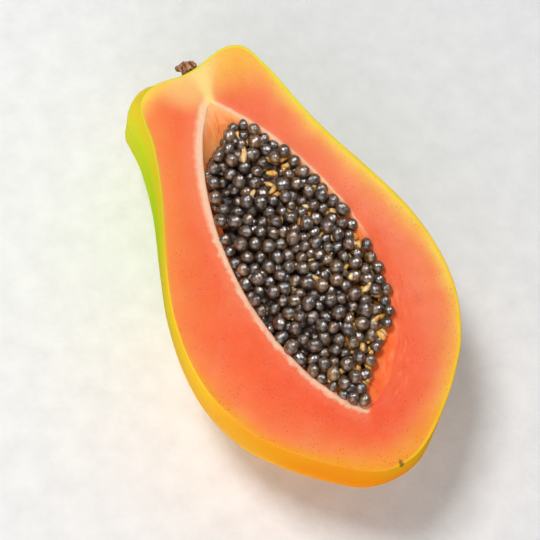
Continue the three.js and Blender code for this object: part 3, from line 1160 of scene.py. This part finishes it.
@dataclass
class FruitHalf:
    """Skin, cut face and cavity wall of the half, in one closed surface."""

    shape: FruitShape = field(default_factory=FruitShape)
    cavity: CavityShape = field(default_factory=CavityShape)
    steps: int = 210
    sides: int = 300
    edge: float = 0.45  # radius of the cut's rounded edge
    lip: float = 0.9
    lip_shares: Triple = (0.2, 0.4, 0.9)  # of the lip: everywhere, more on the right, more where gentle
    lip_reach: tuple[float, float] = (2.2, 8.0)  # everywhere, and more where it is gentle
    gentle_across: tuple[float, float] = (0.0, 12.0)
    gentle_along: tuple[float, float] = (25.0, -20.0)
    unevenness: tuple = ((22.0, 5, 0.16), (7.0, 6, 0.05))  # size, seed and height of each wave field
    sunk: float = 0.15  # the cut face lies this far under its highest place
    even_edge: float = 3.0  # so close to the skin it stays even
    wall_waves: tuple = (9.0, 8, (0.25, 0.0, 0.2))
    cut_rings: int = 44
    wall_rings: int = 16
    lowest_wall: float = 0.93
    out_of_reach: float = 40.0  # rim gap of points that aren't on the cut face or the wall
    scar_place: Triple = (0.6, -89.0, 62.8)
    scar_squeeze: Triple = (1.5, 0.8, 1.0)
    notch_line: float = -2.7
    cord_start: tuple[float, float] = (1.4, 97.0)
    cord_end: tuple[float, float] = (-1.6, 78.0)

    def lower_skin(self) -> tuple[Array, list]:
        """The whole skin cut off just under the cut face, with its underside pressed flat where it rests.

        Returns:
            Points and faces.
        """
        curve = self.shape.curve(self.steps)
        ring = curve[1:-1]
        angle = np.linspace(0.0, 2.0 * math.pi, self.sides, endpoint=False)
        body = self.shape.surface(ring[:, :1], ring[:, 1:], angle[None, :]).reshape(-1, 3)
        ends = self.shape.surface(np.zeros(2), curve[[0, -1], 1], np.zeros(2))
        mesh = bmesh.new()
        whole = bpy.data.meshes.new("whole_skin")
        whole.from_pydata([*body.tolist(), *ends.tolist()], [], tube_faces(len(ring), self.sides))
        mesh.from_mesh(whole)
        bmesh.ops.bisect_plane(
            mesh,
            geom=mesh.verts[:] + mesh.edges[:] + mesh.faces[:],
            dist=1e-6,
            plane_co=(0.0, 0.0, CUT_HEIGHT - self.edge),
            plane_no=(0.0, 0.0, 1.0),
            clear_outer=True,
        )
        bmesh.ops.remove_doubles(mesh, verts=mesh.verts[:], dist=1e-4)
        bmesh.ops.recalc_face_normals(mesh, faces=mesh.faces[:])
        mesh.to_mesh(whole)
        mesh.free()
        kept = np.empty(len(whole.vertices) * 3)
        whole.vertices.foreach_get("co", kept)
        kept = kept.reshape(-1, 3)
        kept[:, 2] = np.maximum(kept[:, 2], 0.0)
        faces = [tuple(polygon.vertices) for polygon in whole.polygons]
        bpy.data.meshes.remove(whole)
        return kept, faces

    def outline_order(self, points: Array) -> Array:
        """The skin's upper edge in order round the fruit, from the notch at the stalk over the left side.

        Args:
            points: The lower skin's points.

        Returns:
            Indices of the edge's points.
        """
        edge = np.flatnonzero(points[:, 2] > CUT_HEIGHT - self.edge - 1e-3)
        turn = np.arctan2(points[edge, 1], points[edge, 0])
        order = edge[np.argsort(turn)]
        notch = np.where(points[order, 1] > 80.0, np.abs(points[order, 0] - self.notch_line), np.inf)
        return np.roll(order, -int(np.argmin(notch)))

    def rim(self, outline: Array) -> tuple[Array, Array, Array]:
        """A point of the cavity's rim for each point of the outline, at the same share of the way down.

        Args:
            outline: The cut face's outline, from the notch over the left side.

        Returns:
            Shares of the cavity's length, side signs and rim points.
        """
        tip = int(np.argmin(outline[:, 1]))
        count = len(outline)
        step = np.linalg.norm(np.diff(np.vstack([outline, outline[:1]])[:, :2], axis=0), axis=1)
        walked = np.concatenate([[0.0], np.cumsum(step)])
        index = np.arange(count)
        down = walked[:count] / walked[tip]
        back = (walked[count] - walked[:count]) / (walked[count] - walked[tip])
        sign = np.where(index <= tip, -1.0, 1.0)
        travel = np.where(index <= tip, down, back)
        fine = (1.0 - np.cos(np.linspace(0.0, math.pi, 801))) / 2.0
        share = np.empty(count)
        for side, width in ((-1.0, self.cavity.left), (1.0, self.cavity.right)):
            y = self.cavity.top + (self.cavity.bottom - self.cavity.top) * fine
            x = self.cavity.bow(fine, width)
            length = np.concatenate([[0.0], np.cumsum(np.hypot(np.diff(x), np.diff(y)))])
            chosen = sign == side
            share[chosen] = np.interp(travel[chosen] * length[-1], length, fine)
        return share, sign, self.wall_point(share, sign, np.zeros(count))

    def wall_point(self, share: Array, sign: Array, turn: Array) -> Array:
        """A point of the cavity's wall: cos(t) of the width across and sin(t)^w of the depth down.

        Args:
            share: Share of the cavity's length.
            sign: -1 on the left, 1 on the right.
            turn: From 0 on the rim to 1 on the floor.

        Returns:
            The points.
        """
        cavity = self.cavity
        right = sign > 0
        width = np.where(right, cavity.bow(share, cavity.right), cavity.bow(share, cavity.left))
        steep = np.where(right, cavity.right.wall, cavity.left.wall)
        across = np.maximum(np.cos(turn * math.pi / 2.0), 0.0)
        down = np.maximum(np.sin(turn * math.pi / 2.0), 0.0) ** steep
        y = cavity.top + (cavity.bottom - cavity.top) * share
        z = CUT_HEIGHT - down * cavity.deep(share)
        return np.stack([cavity.line + sign * across * width, y, z], axis=-1)

    def cut_face(self, outline: Array, rim: Array) -> Array:
        """Rings from the skin's edge to the rim, rounded at both, with a faint unevenness between.

        Args:
            outline: The outline's points just under the cut face.
            rim: The rim's points.

        Returns:
            The rings, without the outline's own.
        """
        span = np.linalg.norm((rim - outline)[:, :2], axis=1)
        turn = np.linspace(0.0, math.pi / 2.0, 5)[1:]
        round_out = self.edge * (1.0 - np.cos(turn))
        round_up = self.edge * np.sin(turn)
        inner = np.linspace(0.0, 1.0, self.cut_rings)[1:]
        near = round_out[-1] / span
        shares = np.vstack([round_out[:, None] / span, near + (1.0 - near) * inner[:, None]])
        rings = outline[None] + (rim - outline)[None] * shares[..., None]
        rise = np.concatenate([round_up, np.full(len(inner), self.edge)])
        rings[..., 2] = CUT_HEIGHT - self.edge + rise[:, None]
        to_rim = (1.0 - shares) * span
        gentle = smooth_step(*self.gentle_across, rim[:, 0]) * smooth_step(*self.gentle_along, rim[:, 1])
        on_right = smooth_step(-2.0, 4.0, rim[:, 0])
        least, more_right, more_gentle = self.lip_shares
        depth = self.lip * (least + more_right * on_right + more_gentle * gentle)
        reach, longer = self.lip_reach
        fall = depth * np.clip(1.0 - to_rim / (reach + longer * gentle), 0.0, 1.0) ** 2
        settle = smooth_step(0.0, self.even_edge, shares * span)
        waves = sum(wave_noise(rings, size, seed) * height for size, seed, height in self.unevenness)
        rings[..., 2] += (waves - self.sunk) * settle - fall * settle
        return rings

    def build(self) -> Piece:
        """Puts the skin, the cut face and the wall together and dresses them.

        Returns:
            The finished piece.
        """
        skin, faces = self.lower_skin()
        order = self.outline_order(skin)
        outline = skin[order]
        share, sign, rim = self.rim(outline)
        cut = self.cut_face(outline, rim)
        turns = np.linspace(0.0, self.lowest_wall, self.wall_rings + 1)[1:]
        wall = np.stack([self.wall_point(share, sign, np.full(len(share), turn)) for turn in turns])
        start = cut[-1][:, 2] - CUT_HEIGHT
        wall[..., 2] += start[None]
        size, seed, heights = self.wall_waves
        wall += wave_noise(wall, size, seed)[..., None] * np.array(heights) * turns[:, None, None]
        count = len(order)
        rings = np.vstack([cut.reshape(-1, 3), wall.reshape(-1, 3)])
        points = inside_box(np.vstack([skin, rings]), "fruit_half")
        first = len(skin)
        column = np.arange(count)
        joint = np.stack([order, np.roll(order, -1), first + (column + 1) % count, first + column], axis=1)
        inner = grid_faces(len(cut) + len(wall), count, first)
        floor = first + (len(cut) + len(wall) - 1) * count + column
        flesh = count * len(cut)
        finish = np.repeat([0, 1, 2], [len(faces), flesh, len(joint) + len(inner) + 1 - flesh])
        faces = [*faces, *joint.tolist(), *inner.tolist(), floor.tolist()]
        skin_gap = np.zeros(len(points))
        rim_gap = np.full(len(points), self.out_of_reach)
        skin_gap[first:] = gap_to_line(rings, outline)
        rim_gap[first:] = gap_to_line(rings, rim)
        wall_first = first + len(cut) * count
        rim_gap[wall_first:] = CUT_HEIGHT - points[wall_first:, 2]
        half = Skin(points, faces, finish, self.fields(points, skin_gap, rim_gap))
        piece = half.build("papaya_half", [kind().make() for kind in (SkinFinish, FleshFinish, WallFinish)])
        mend_faces(piece)
        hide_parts("fruit_half")
        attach(piece, "root")
        return piece

    def fields(self, points: Array, skin_gap: Array, rim_gap: Array) -> dict:
        """The fields that the flesh's colours follow.

        Args:
            points: All points of the half.
            skin_gap: Distance to the skin on the cut face.
            rim_gap: Distance to the cavity's rim.

        Returns:
            Fields by name: the two gaps, the pale line's width, strength and unevenness, and the pale cord.
        """
        x, y = points[:, 0], points[:, 1]
        left = 1.0 - smooth_step(-3.0, 1.0, x)
        upper = smooth_step(-8.0, 66.0, y)
        width = 0.8 + left * (1.9 + 1.2 * upper) + 0.8 * (1.0 - left) * smooth_step(20.0, 70.0, y)
        right_strength = 0.9 * smooth_step(-12.0, 25.0, y)
        strength = left * (0.86 + 0.1 * upper) + (1.0 - left) * right_strength
        slope = smooth_step(4.0, 14.0, x) * smooth_step(20.0, -25.0, y)
        ragged = 1.7 - 1.2 * smooth_step(10.0, 45.0, y)
        # The cord runs from the notch to the cavity's pointed end, and is widest at the notch
        start, end = np.array(self.cord_start), np.array(self.cord_end)
        way = end - start
        along = np.clip(((points[:, :2] - start) @ way) / (way @ way), 0.0, 1.0)
        off = np.linalg.norm(points[:, :2] - start - along[:, None] * way, axis=1)
        thick = 2.1 + 6.4 * (1.0 - along) ** 1.9
        cord = (1.0 - smooth_step(0.2, 1.35, off / thick)) * 0.92
        notch = np.hypot((x + 6.0) / 17.0, (y - 89.0) / 15.0)
        by_cord = 0.35 * (1.0 - smooth_step(0.6, 2.4, off / thick))
        halo = np.maximum(0.72 * (1.0 - smooth_step(0.2, 1.0, notch)), by_cord)
        from_scar = np.linalg.norm((points - self.scar_place) * self.scar_squeeze, axis=1)
        scar = 1.0 - smooth_step(0.3, 2.6, from_scar)
        return {
            "skin_gap": skin_gap,
            "scar": scar,
            "rim_gap": rim_gap,
            "rim_width": width,
            "rim_strength": np.clip(strength, 0.0, 1.0),
            "rim_ragged": ragged,
            "slope": slope,
            "cord": cord,
            "halo": halo,
        }


@dataclass
class SeedPile:
    """The seeds in the cavity: an upper layer that is the solid's own, and more in the gaps below it."""

    cavity: CavityShape = field(default_factory=CavityShape)
    count: int = 185
    more: int = 230
    smallest: float = 2.35
    largest: float = 3.0
    longer: float = 1.14
    closest: float = 1.03
    rounds: int = 120
    random: int = 20
    bed_top: float = 67.5
    bed_turn: float = 2.0
    bed_slant: float = 0.78
    bed_edge: float = -0.9
    bed_middle: float = 0.7
    spread_down: float = -1.3
    spread_up: float = 1.1
    edge_inside: float = -0.3
    bare_width: float = 11.0
    bare: tuple[float, float] = (-28.0, -52.0)
    wall_gap: float = 0.45
    core_under: float = 4.6
    around: int = 10
    rings: int = 6
    lower_offset: float = 2.6  # the lower seeds start this far beside an upper one, and lower by
    lower_drop: tuple[float, float] = (2.2, 4.6)
    lower_smaller: float = 0.15
    lower_rounds: int = 60
    lower_closest: tuple[float, float] = (0.96, 0.9)  # to each other and to the upper ones
    lower_push: float = 1.4
    lower_range: tuple[float, float] = (-5.4, -1.6)
    # The lower seeds' tone is multiplied by this: painted shade for seeds that lie deeper.
    lower_shade: float = 0.6
    lump_waves: float = 3.1
    lump_height: float = 0.03
    bow_height: float = 0.06
    bed_rows: int = 64
    bed_columns: int = 26
    bed_thick: float = 3.0
    bed_narrows: float = 0.8

    def bare_wall(self, y: Array) -> Array:
        """Width of bare wall at the lower right.

        Args:
            y: Along.

        Returns:
            The widths.
        """
        return self.bare_width * smooth_step(*self.bare, y)

    def bed_height(self, x: Array, y: Array) -> Array:
        """Height of the bed over the cut face: edge + (middle - edge) · (1 - share across²).

        Args:
            x: Across.
            y: Along.

        Returns:
            The heights.
        """
        across = np.abs(x - self.cavity.line) / np.maximum(self.cavity.half_width(x, y), 1.0)
        return self.bed_edge + (self.bed_middle - self.bed_edge) * (1.0 - np.minimum(across, 1.0) ** 2)

    def keep_in_bed(self, seeds: Array, low: float, high: float) -> Array:
        """Keeps seeds inside the cavity's outline and near the bed.

        Args:
            seeds: Centres and radii, x, y, z and radius in a line.
            low: Lowest height over the bed.
            high: Highest height over the bed.

        Returns:
            The seeds moved inside.
        """
        kept = seeds.copy()
        radius = kept[:, 3]
        highest = self.bed_top - self.bed_slant * np.maximum(self.bed_turn - kept[:, 0], 0.0) - radius
        kept[:, 1] = np.clip(kept[:, 1], self.cavity.bottom + radius + self.wall_gap, highest)
        share = self.cavity.share(kept[:, 1])
        margin = radius + self.edge_inside
        left = self.cavity.line - np.maximum(self.cavity.bow(share, self.cavity.left) - margin, 0.0)
        room = self.cavity.bow(share, self.cavity.right) - margin - self.bare_wall(kept[:, 1])
        right = self.cavity.line + np.maximum(room, 0.0)
        kept[:, 0] = np.clip(kept[:, 0], left, right)
        bed = self.bed_height(kept[:, 0], kept[:, 1])
        kept[:, 2] = np.clip(kept[:, 2], bed + low, bed + high)
        return kept

    def strewn(self) -> Array:
        """Draws the upper seeds over the cavity, four numbers a try, keeping those over it.

        Returns:
            Centres and radii.
        """
        draw = random_row(self.random, self.count * 12).reshape(-1, 4)
        left, right = self.cavity.left.width, self.cavity.right.width
        x = self.cavity.line - left + (left + right) * draw[:, 0]
        y = self.cavity.bottom + (self.bed_top - self.cavity.bottom) * draw[:, 1]
        z = self.bed_height(x, y) + self.spread_down + (self.spread_up - self.spread_down) * draw[:, 2]
        radius = self.smallest + (self.largest - self.smallest) * draw[:, 3]
        over = np.abs(x - self.cavity.line) < self.cavity.half_width(x, y)
        return np.stack([x, y, z, radius], axis=1)[over][: self.count]

    def push_apart(self, seeds: Array, others: Array, closest: float, own: bool) -> Array:
        """How far seeds are pushed by those that they touch: half of what is missing to the distance.

        Args:
            seeds: The seeds that move.
            others: The seeds that push.
            closest: Wanted distance as a share of touching distance.
            own: Whether both are the same seeds.

        Returns:
            The push on each seed.
        """
        apart = seeds[:, None, :3] - others[None, :, :3]
        wanted = (seeds[:, None, 3] + others[None, :, 3]) * closest
        distance = np.sqrt((apart**2).sum(axis=-1))
        if own:
            np.fill_diagonal(distance, np.inf)
        share = np.where(distance < wanted, 0.5 * (wanted - distance) / np.maximum(distance, 0.01), 0.0)
        return (apart * share[..., None]).sum(axis=1)

    def settled(self) -> Array:
        """The upper seeds after they have pushed each other apart.

        Returns:
            Centres and radii.
        """
        seeds = self.strewn()
        for _ in range(self.rounds):
            seeds[:, :3] += self.push_apart(seeds, seeds, self.closest, True)
            seeds = self.keep_in_bed(seeds, self.spread_down, self.spread_up)
        return seeds

    def filling(self, upper: Array) -> Array:
        """More seeds just under the upper ones, pushed into their gaps.

        Args:
            upper: The upper seeds, which stay where they are.

        Returns:
            Centres and radii.
        """
        draw = np.random.default_rng(self.random)
        pick = draw.integers(0, len(upper), self.more)
        lower = upper[pick].copy()
        lower[:, :2] += draw.normal(0.0, self.lower_offset, (self.more, 2))
        lower[:, 2] -= draw.uniform(*self.lower_drop, self.more)
        lower[:, 3] = draw.uniform(self.smallest - self.lower_smaller, self.largest, self.more)
        to_own, to_upper = self.lower_closest
        for _ in range(self.lower_rounds):
            lower[:, :3] += self.push_apart(lower, lower, to_own, True)
            lower[:, :3] += self.push_apart(lower, upper, to_upper, False) * self.lower_push
            lower = self.keep_in_bed(lower, *self.lower_range)
        return lower

    def ways(self, seeds: Array) -> Array:
        """The turn of each seed, three drawn angles about x, y and z.

        Args:
            seeds: Centres and radii.

        Returns:
            A turning matrix for each seed.
        """
        draw = random_row(self.random + 1, len(seeds) * 3).reshape(-1, 3)
        angles = draw * math.pi * np.array([2.0, 1.0, 2.0])
        about_x, about_y, about_z = (turns_about(axis, angles[:, axis]) for axis in range(3))
        return about_x @ about_y @ about_z

    def build(self) -> Piece:
        """Makes all seeds in one piece.

        Returns:
            The finished piece.
        """
        upper = self.settled()
        seeds = np.vstack([upper, self.filling(upper)])
        unit, faces = ball(self.around, self.rings)
        draw = np.random.default_rng(self.random + 3)
        phase = draw.uniform(0.0, 2.0 * math.pi, (len(seeds), 1, 3))
        waves = np.sin(unit[None] * self.lump_waves + phase).sum(axis=-1, keepdims=True)
        shape = unit[None] * (1.0 + waves * self.lump_height) * np.array([self.longer, 1.0, 1.0])
        shape[..., 0] += self.bow_height * (unit[None, :, 1] ** 2)
        turned = np.einsum("sij,svj->svi", self.ways(seeds), shape) * seeds[:, None, 3:]
        points = seeds[:, None, :3] + np.array([0.0, 0.0, CUT_HEIGHT]) + turned
        highest = inside_box(points.max(axis=1), "seeds")[:, 2]
        points[..., 2] -= (points.max(axis=1)[:, 2] - highest)[:, None]
        points = points.reshape(-1, 3)
        tone = draw.beta(1.5, 2.0, len(seeds))
        # The lower seeds are painted darker, as shade for lying deeper.
        tone[len(upper) :] *= self.lower_shade
        drawn = {"seed_tone_and_shade": tone, "seed_hue": draw.random(len(seeds))}
        fields = {name: np.repeat(values, len(unit)) for name, values in drawn.items()}
        all_faces = repeated_faces(faces, len(unit), len(seeds))
        piece = Skin(points, all_faces, [], fields).build("seed_pile", [SeedFinish().make()])
        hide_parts("seeds")
        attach(piece, "root")
        return piece

    def bed(self) -> Piece:
        """A closed cushion under the seeds that follows the bed's height, painted dark as shade between the
        seeds.

        Returns:
            The finished piece.
        """
        y = np.linspace(self.bed_top - 3.0, self.cavity.bottom + 1.5, self.bed_rows)[:, None]
        toward_top = np.linspace(1.0, 0.0, self.bed_rows)[:, None]
        across = np.linspace(-1.0, 1.0, self.bed_columns)[None, :]
        share = self.cavity.share(y)
        left = self.cavity.bow(share, self.cavity.left) - self.wall_gap
        right = self.cavity.bow(share, self.cavity.right) - self.wall_gap - self.bare_wall(y)
        x = self.cavity.line + np.where(across < 0, across * left, across * np.maximum(right, 1.0))
        y = y - self.bed_slant * np.maximum(self.bed_turn - x, 0.0) * toward_top
        top = CUT_HEIGHT + self.bed_height(x, y) - self.core_under
        upper = np.stack([x, y, top], axis=-1)
        upper[..., 2] += wave_noise(upper, 6.0, 31) * 0.5
        lower = upper[:, ::-1].copy()
        lower[..., 0] = self.cavity.line + (lower[..., 0] - self.cavity.line) * self.bed_narrows
        lower[..., 2] = top[:, ::-1] - self.bed_thick
        loop = np.concatenate([upper, lower], axis=1)
        ends = np.stack([loop[0].mean(axis=0), loop[-1].mean(axis=0)])
        points = np.vstack([loop.reshape(-1, 3), ends])
        bed = Skin(points, tube_faces(self.bed_rows, loop.shape[1]))
        piece = bed.build("seed_bed", [BedFinish().make()])
        mend_faces(piece)
        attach(piece, "root")
        return piece


@dataclass(frozen=True)
class Lump:
    """One lump or strand of pulp: its middle, its length and width, its turn on the bed and its tone."""

    x: float
    y: float
    lift: float
    length: float
    width: float
    turn: float
    tone: float


@dataclass
class PulpBits:
    """Pale strands and lumps on the seeds: a few in fixed places and many small ones by a seeded draw."""

    pile: SeedPile
    fixed: tuple = (
        Lump(0.1, 51.5, 2.4, 3.6, 1.35, 1.1, 0.15),
        Lump(-3.7, 35.4, 1.6, 1.7, 0.9, 0.6, 0.1),
        Lump(14.4, 21.5, 1.4, 1.9, 0.9, 2.4, 0.2),
        Lump(17.3, -12.7, 2.2, 1.5, 1.0, 1.0, 0.0),
        Lump(20.6, -19.7, 1.9, 2.0, 1.2, 0.2, 0.1),
        Lump(23.0, -18.6, 1.8, 1.2, 0.9, 1.2, 0.2),
        Lump(27.8, -23.8, 1.0, 1.5, 0.9, 1.6, 0.35),
        Lump(18.4, -32.7, 1.2, 2.3, 1.0, 0.4, 0.75),
        Lump(8.1, -40.9, 1.3, 1.8, 1.0, 1.2, 0.9),
    )
    drawn: int = 200
    ends: tuple[float, float] = (6.0, 4.0)  # the cavity's ends are free of lumps for so long
    crowding: float = 0.33  # under 1 there are more on the right
    reach: tuple[float, float] = (0.9, 0.97)  # shares of the width on the left and on the right
    lift: tuple[float, float] = (-2.2, -0.8)
    length: tuple[float, float] = (1.4, 2.6)
    width: tuple[float, float] = (0.9, 1.4)
    tone: tuple[float, float] = (0.75, 0.3)  # mean and spread
    flatness: float = 0.8
    dents: tuple = (3.4, 51, 0.2)  # size, seed and height
    around: int = 9
    rings: int = 6
    random: int = 61

    def lumps(self) -> list:
        """The fixed lumps and the drawn ones, which are more frequent towards the right.

        Returns:
            All lumps.
        """
        draw = np.random.default_rng(self.random)
        cavity = self.pile.cavity
        made = list(self.fixed)
        while len(made) < self.drawn + len(self.fixed):
            y = draw.uniform(cavity.bottom + self.ends[0], self.pile.bed_top - self.ends[1])
            share = cavity.share(y)
            left = cavity.bow(share, cavity.left) * self.reach[0]
            right = (cavity.bow(share, cavity.right) - self.pile.bare_wall(y)) * self.reach[1]
            across = draw.uniform(0.0, 1.0) ** self.crowding
            x = cavity.line - left + (left + right) * across
            sizes = [draw.uniform(*span) for span in (self.lift, self.length, self.width, (0.0, math.pi))]
            tone = np.clip(draw.normal(*self.tone), 0.0, 1.0)
            made.append(Lump(*map(float, (x, y, *sizes, tone))))
        return made

    def build(self) -> Piece:
        """Makes all lumps in one piece, each a dented ball stretched along its own turn.

        Returns:
            The finished piece.
        """
        unit, faces = ball(self.around, self.rings)
        lumps = self.lumps()
        points = []
        for index, lump in enumerate(lumps):
            size, seed, height = self.dents
            dents = 1.0 + height * wave_noise(unit * 4.0 + index * 7.0, size, seed)[:, None]
            shape = unit * dents * np.array([lump.length, lump.width, lump.width * self.flatness])
            cos, sin = math.cos(lump.turn), math.sin(lump.turn)
            turned = shape @ np.array([[cos, sin, 0.0], [-sin, cos, 0.0], [0.0, 0.0, 1.0]])
            bed = float(self.pile.bed_height(np.float64(lump.x), np.float64(lump.y)))
            points.append(turned + np.array([lump.x, lump.y, CUT_HEIGHT + bed + lump.lift]))
        tones = {"pulp_tone": np.repeat([lump.tone for lump in lumps], len(unit))}
        bits = Skin(np.vstack(points), repeated_faces(faces, len(unit), len(lumps)), [], tones)
        piece = bits.build("pulp_bits", [PulpFinish().make()])
        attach(piece, "root")
        return piece


@dataclass
class StalkStub:
    """The dried, broken stalk: a ribbed neck that widens to a lumpy end."""

    base: Triple = (-5.0, 83.5, 49.2)
    tip: Triple = (-0.3, 103.8, 50.6)
    starts: float = 0.14
    neck: float = 1.5
    foot: float = 2.0
    head: float = 1.3
    ribs: int = 6
    rib_height: float = 0.12
    rib_twist: float = 2.0
    knobs: int = 2
    knob_ring: float = 2.7
    knob_radius: float = 2.0
    knob_uneven: float = 0.28
    knob_depth: float = 0.93
    end: float = 1.06  # the tip is rounded off over this share of the length
    least: float = 0.04  # share of the radius that is left there
    lumps: tuple = (1.7, 41, 0.28)  # size, seed and height
    steps: int = 56
    sides: int = 64

    def build(self) -> Piece:
        """Makes the stub: a ribbed neck with foot and head, or the far side of a knob where one bulges out.

        Returns:
            The finished piece.
        """
        base, tip = np.array(self.base), np.array(self.tip)
        length = float(np.linalg.norm(tip - base))
        along = (tip - base) / length
        across = np.cross(along, [0.0, 0.0, 1.0])
        across /= np.linalg.norm(across)
        over = np.cross(across, along)
        share = np.linspace(self.starts, self.end, self.steps)[:, None]
        angle = np.linspace(0.0, 2.0 * math.pi, self.sides, endpoint=False)[None, :]
        foot = (self.foot - 1.0) * (1.0 - smooth_step(0.0, 0.5, share))
        head = (self.head - 1.0) * smooth_step(0.6, 1.0, share)
        ribs = self.rib_height * np.cos(self.ribs * angle + self.rib_twist * share)
        radius = self.neck * (1.0 + foot + head) * (1.0 + ribs)
        closing = np.sqrt(np.clip(1.0 - np.clip((share - 1.0) / (self.end - 1.0), 0.0, 1.0) ** 2, 0.0, 1.0))
        radius = radius * (self.least + (1.0 - self.least) * closing)
        for knob in range(self.knobs):
            middle = 2.0 * math.pi * knob / self.knobs
            reach = self.knob_radius * (1.0 + self.knob_uneven * math.cos(middle))
            ahead = (share - self.knob_depth) * length
            turn = (angle - middle + math.pi) % (2.0 * math.pi) - math.pi
            aside = self.knob_ring * np.sin(np.clip(turn, -math.pi / 2.0, math.pi / 2.0))
            inside = reach**2 - ahead**2 - aside**2
            bulge = self.knob_ring * np.cos(turn) + np.sqrt(np.maximum(inside, 0.0))
            radius = np.where(inside > 0.0, np.maximum(radius, bulge), radius)
        place = base + (tip - base) * share[..., None]
        outward = np.cos(angle)[..., None] * across + np.sin(angle)[..., None] * over
        points = place + radius[..., None] * outward
        outward = (points - place) / np.maximum(radius[..., None], 0.5)
        size, seed, height = self.lumps
        points += wave_noise(points, size, seed)[..., None] * outward * height
        body = inside_box(points.reshape(-1, 3), "stalk_stub")
        ends = np.stack([body[: self.sides].mean(axis=0), body[-self.sides :].mean(axis=0)])
        skin = Skin(np.vstack([body, ends]), tube_faces(self.steps, self.sides))
        piece = skin.build("stalk_stub_fine", [StalkFinish().make()])
        mend_faces(piece)
        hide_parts("stalk_stub")
        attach(piece, "root")
        return piece


@dataclass(frozen=True)
class Light:
    """A square soft light that faces the fruit: place and side in metres, power in watts."""

    name: str
    place: Triple
    side: float
    power: float
    tint: Triple = (1.0, 1.0, 1.0)
    highlights_only: bool = False

    def build(self) -> Piece:
        """Makes the lamp.

        Returns:
            The lamp.
        """
        data = bpy.data.lights.new(self.name, "AREA")
        data.size, data.energy, data.color = self.side, self.power, self.tint
        lamp = bpy.data.objects.new(self.name, data)
        back = np.array(self.place) / np.linalg.norm(self.place)
        side = np.cross([0.0, 0.0, 1.0], back)
        side /= np.linalg.norm(side)
        lamp.matrix_world = placed(side, np.cross(back, side), back, self.place)
        lamp.visible_diffuse = not self.highlights_only
        bpy.context.scene.collection.objects.link(lamp)
        return lamp


@dataclass
class Studio:
    """Floor, lights and camera."""

    tilt: float = math.radians(21.0)
    toward: float = math.radians(218.0)
    roll: float = math.radians(117.0)
    lens: float = 110.0
    sensor: float = 36.0
    side: float = 540.0
    target: tuple[float, float] = (296.0, 268.0)
    mm_per_pixel: float = 190.0 / 470.0
    aim: Triple = (-1.25, 0.0, CUT_HEIGHT)
    clip: tuple[float, float] = (0.05, 20.0)
    floor_reach: float = 2500.0
    world_strength: float = 0.225
    lights: tuple = (
        Light("key", (-0.40, 0.55, 1.4), 0.4, 14.6),
        Light("fill", (-0.85, -0.9, 0.6), 1.6, 11.0),
        Light("glint", (0.75, 0.35, 1.25), 0.45, 16.5, (0.86, 0.92, 1.0), highlights_only=True),
    )

    def camera(self) -> Piece:
        """A long lens that looks down at the cut face, turned so that the fruit lies slantwise.

        Returns:
            The camera.
        """
        flat = math.sin(self.tilt)
        back = np.array([flat * math.cos(self.toward), flat * math.sin(self.toward), math.cos(self.tilt)])
        along = np.array([0.0, 1.0, 0.0]) - back[1] * back
        along /= np.linalg.norm(along)
        across = np.cross(along, back)
        right = math.cos(self.roll) * along + math.sin(self.roll) * across
        up = math.sin(self.roll) * along - math.cos(self.roll) * across
        focal = self.lens / self.sensor * self.side
        off_x, off_y = self.target[0] - self.side / 2.0, self.side / 2.0 - self.target[1]
        place = np.array(self.aim) + self.mm_per_pixel * (focal * back - off_x * right - off_y * up)
        data = bpy.data.cameras.new("studio_camera")
        data.lens, data.sensor_width = self.lens, self.sensor
        data.clip_start, data.clip_end = self.clip
        camera = bpy.data.objects.new("studio_camera", data)
        camera.matrix_world = placed(right, up, back, to_frame(place))
        bpy.context.scene.collection.objects.link(camera)
        bpy.context.scene.camera = camera
        return camera

    def floor(self) -> Piece:
        """A wide pale table under the fruit.

        Returns:
            The floor.
        """
        reach = self.floor_reach
        points = np.array([[-reach, -reach, 0], [reach, -reach, 0], [reach, reach, 0], [-reach, reach, 0]])
        floor = Skin(points, [(0, 1, 2, 3)]).build("table", [FloorFinish().make()])
        return floor

    def build(self) -> None:
        """Sets up floor, camera, lights and the colour curve."""
        self.camera()
        self.floor()
        for light in self.lights:
            light.build()
        world = bpy.data.worlds.new("studio")
        world.use_nodes = True
        background = world.node_tree.nodes["Background"]
        background.inputs["Color"].default_value = (1.0, 1.0, 1.0, 1.0)
        background.inputs["Strength"].default_value = self.world_strength
        bpy.context.scene.world = world
        bpy.context.scene.view_settings.view_transform = "Standard"


def main() -> None:
    """Builds the studio and the papaya, and reports each piece."""
    logging.basicConfig(level=logging.INFO, format="%(name)s: %(message)s")
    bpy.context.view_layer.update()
    Studio().build()
    half = FruitHalf()
    pile = SeedPile()
    pieces = [half.build(), pile.build(), pile.bed(), PulpBits(pile).build(), StalkStub().build()]
    for piece in pieces:
        LOG.info("%s: %d faces", piece.name, len(piece.data.polygons))


if __name__ == "__main__":
    main()
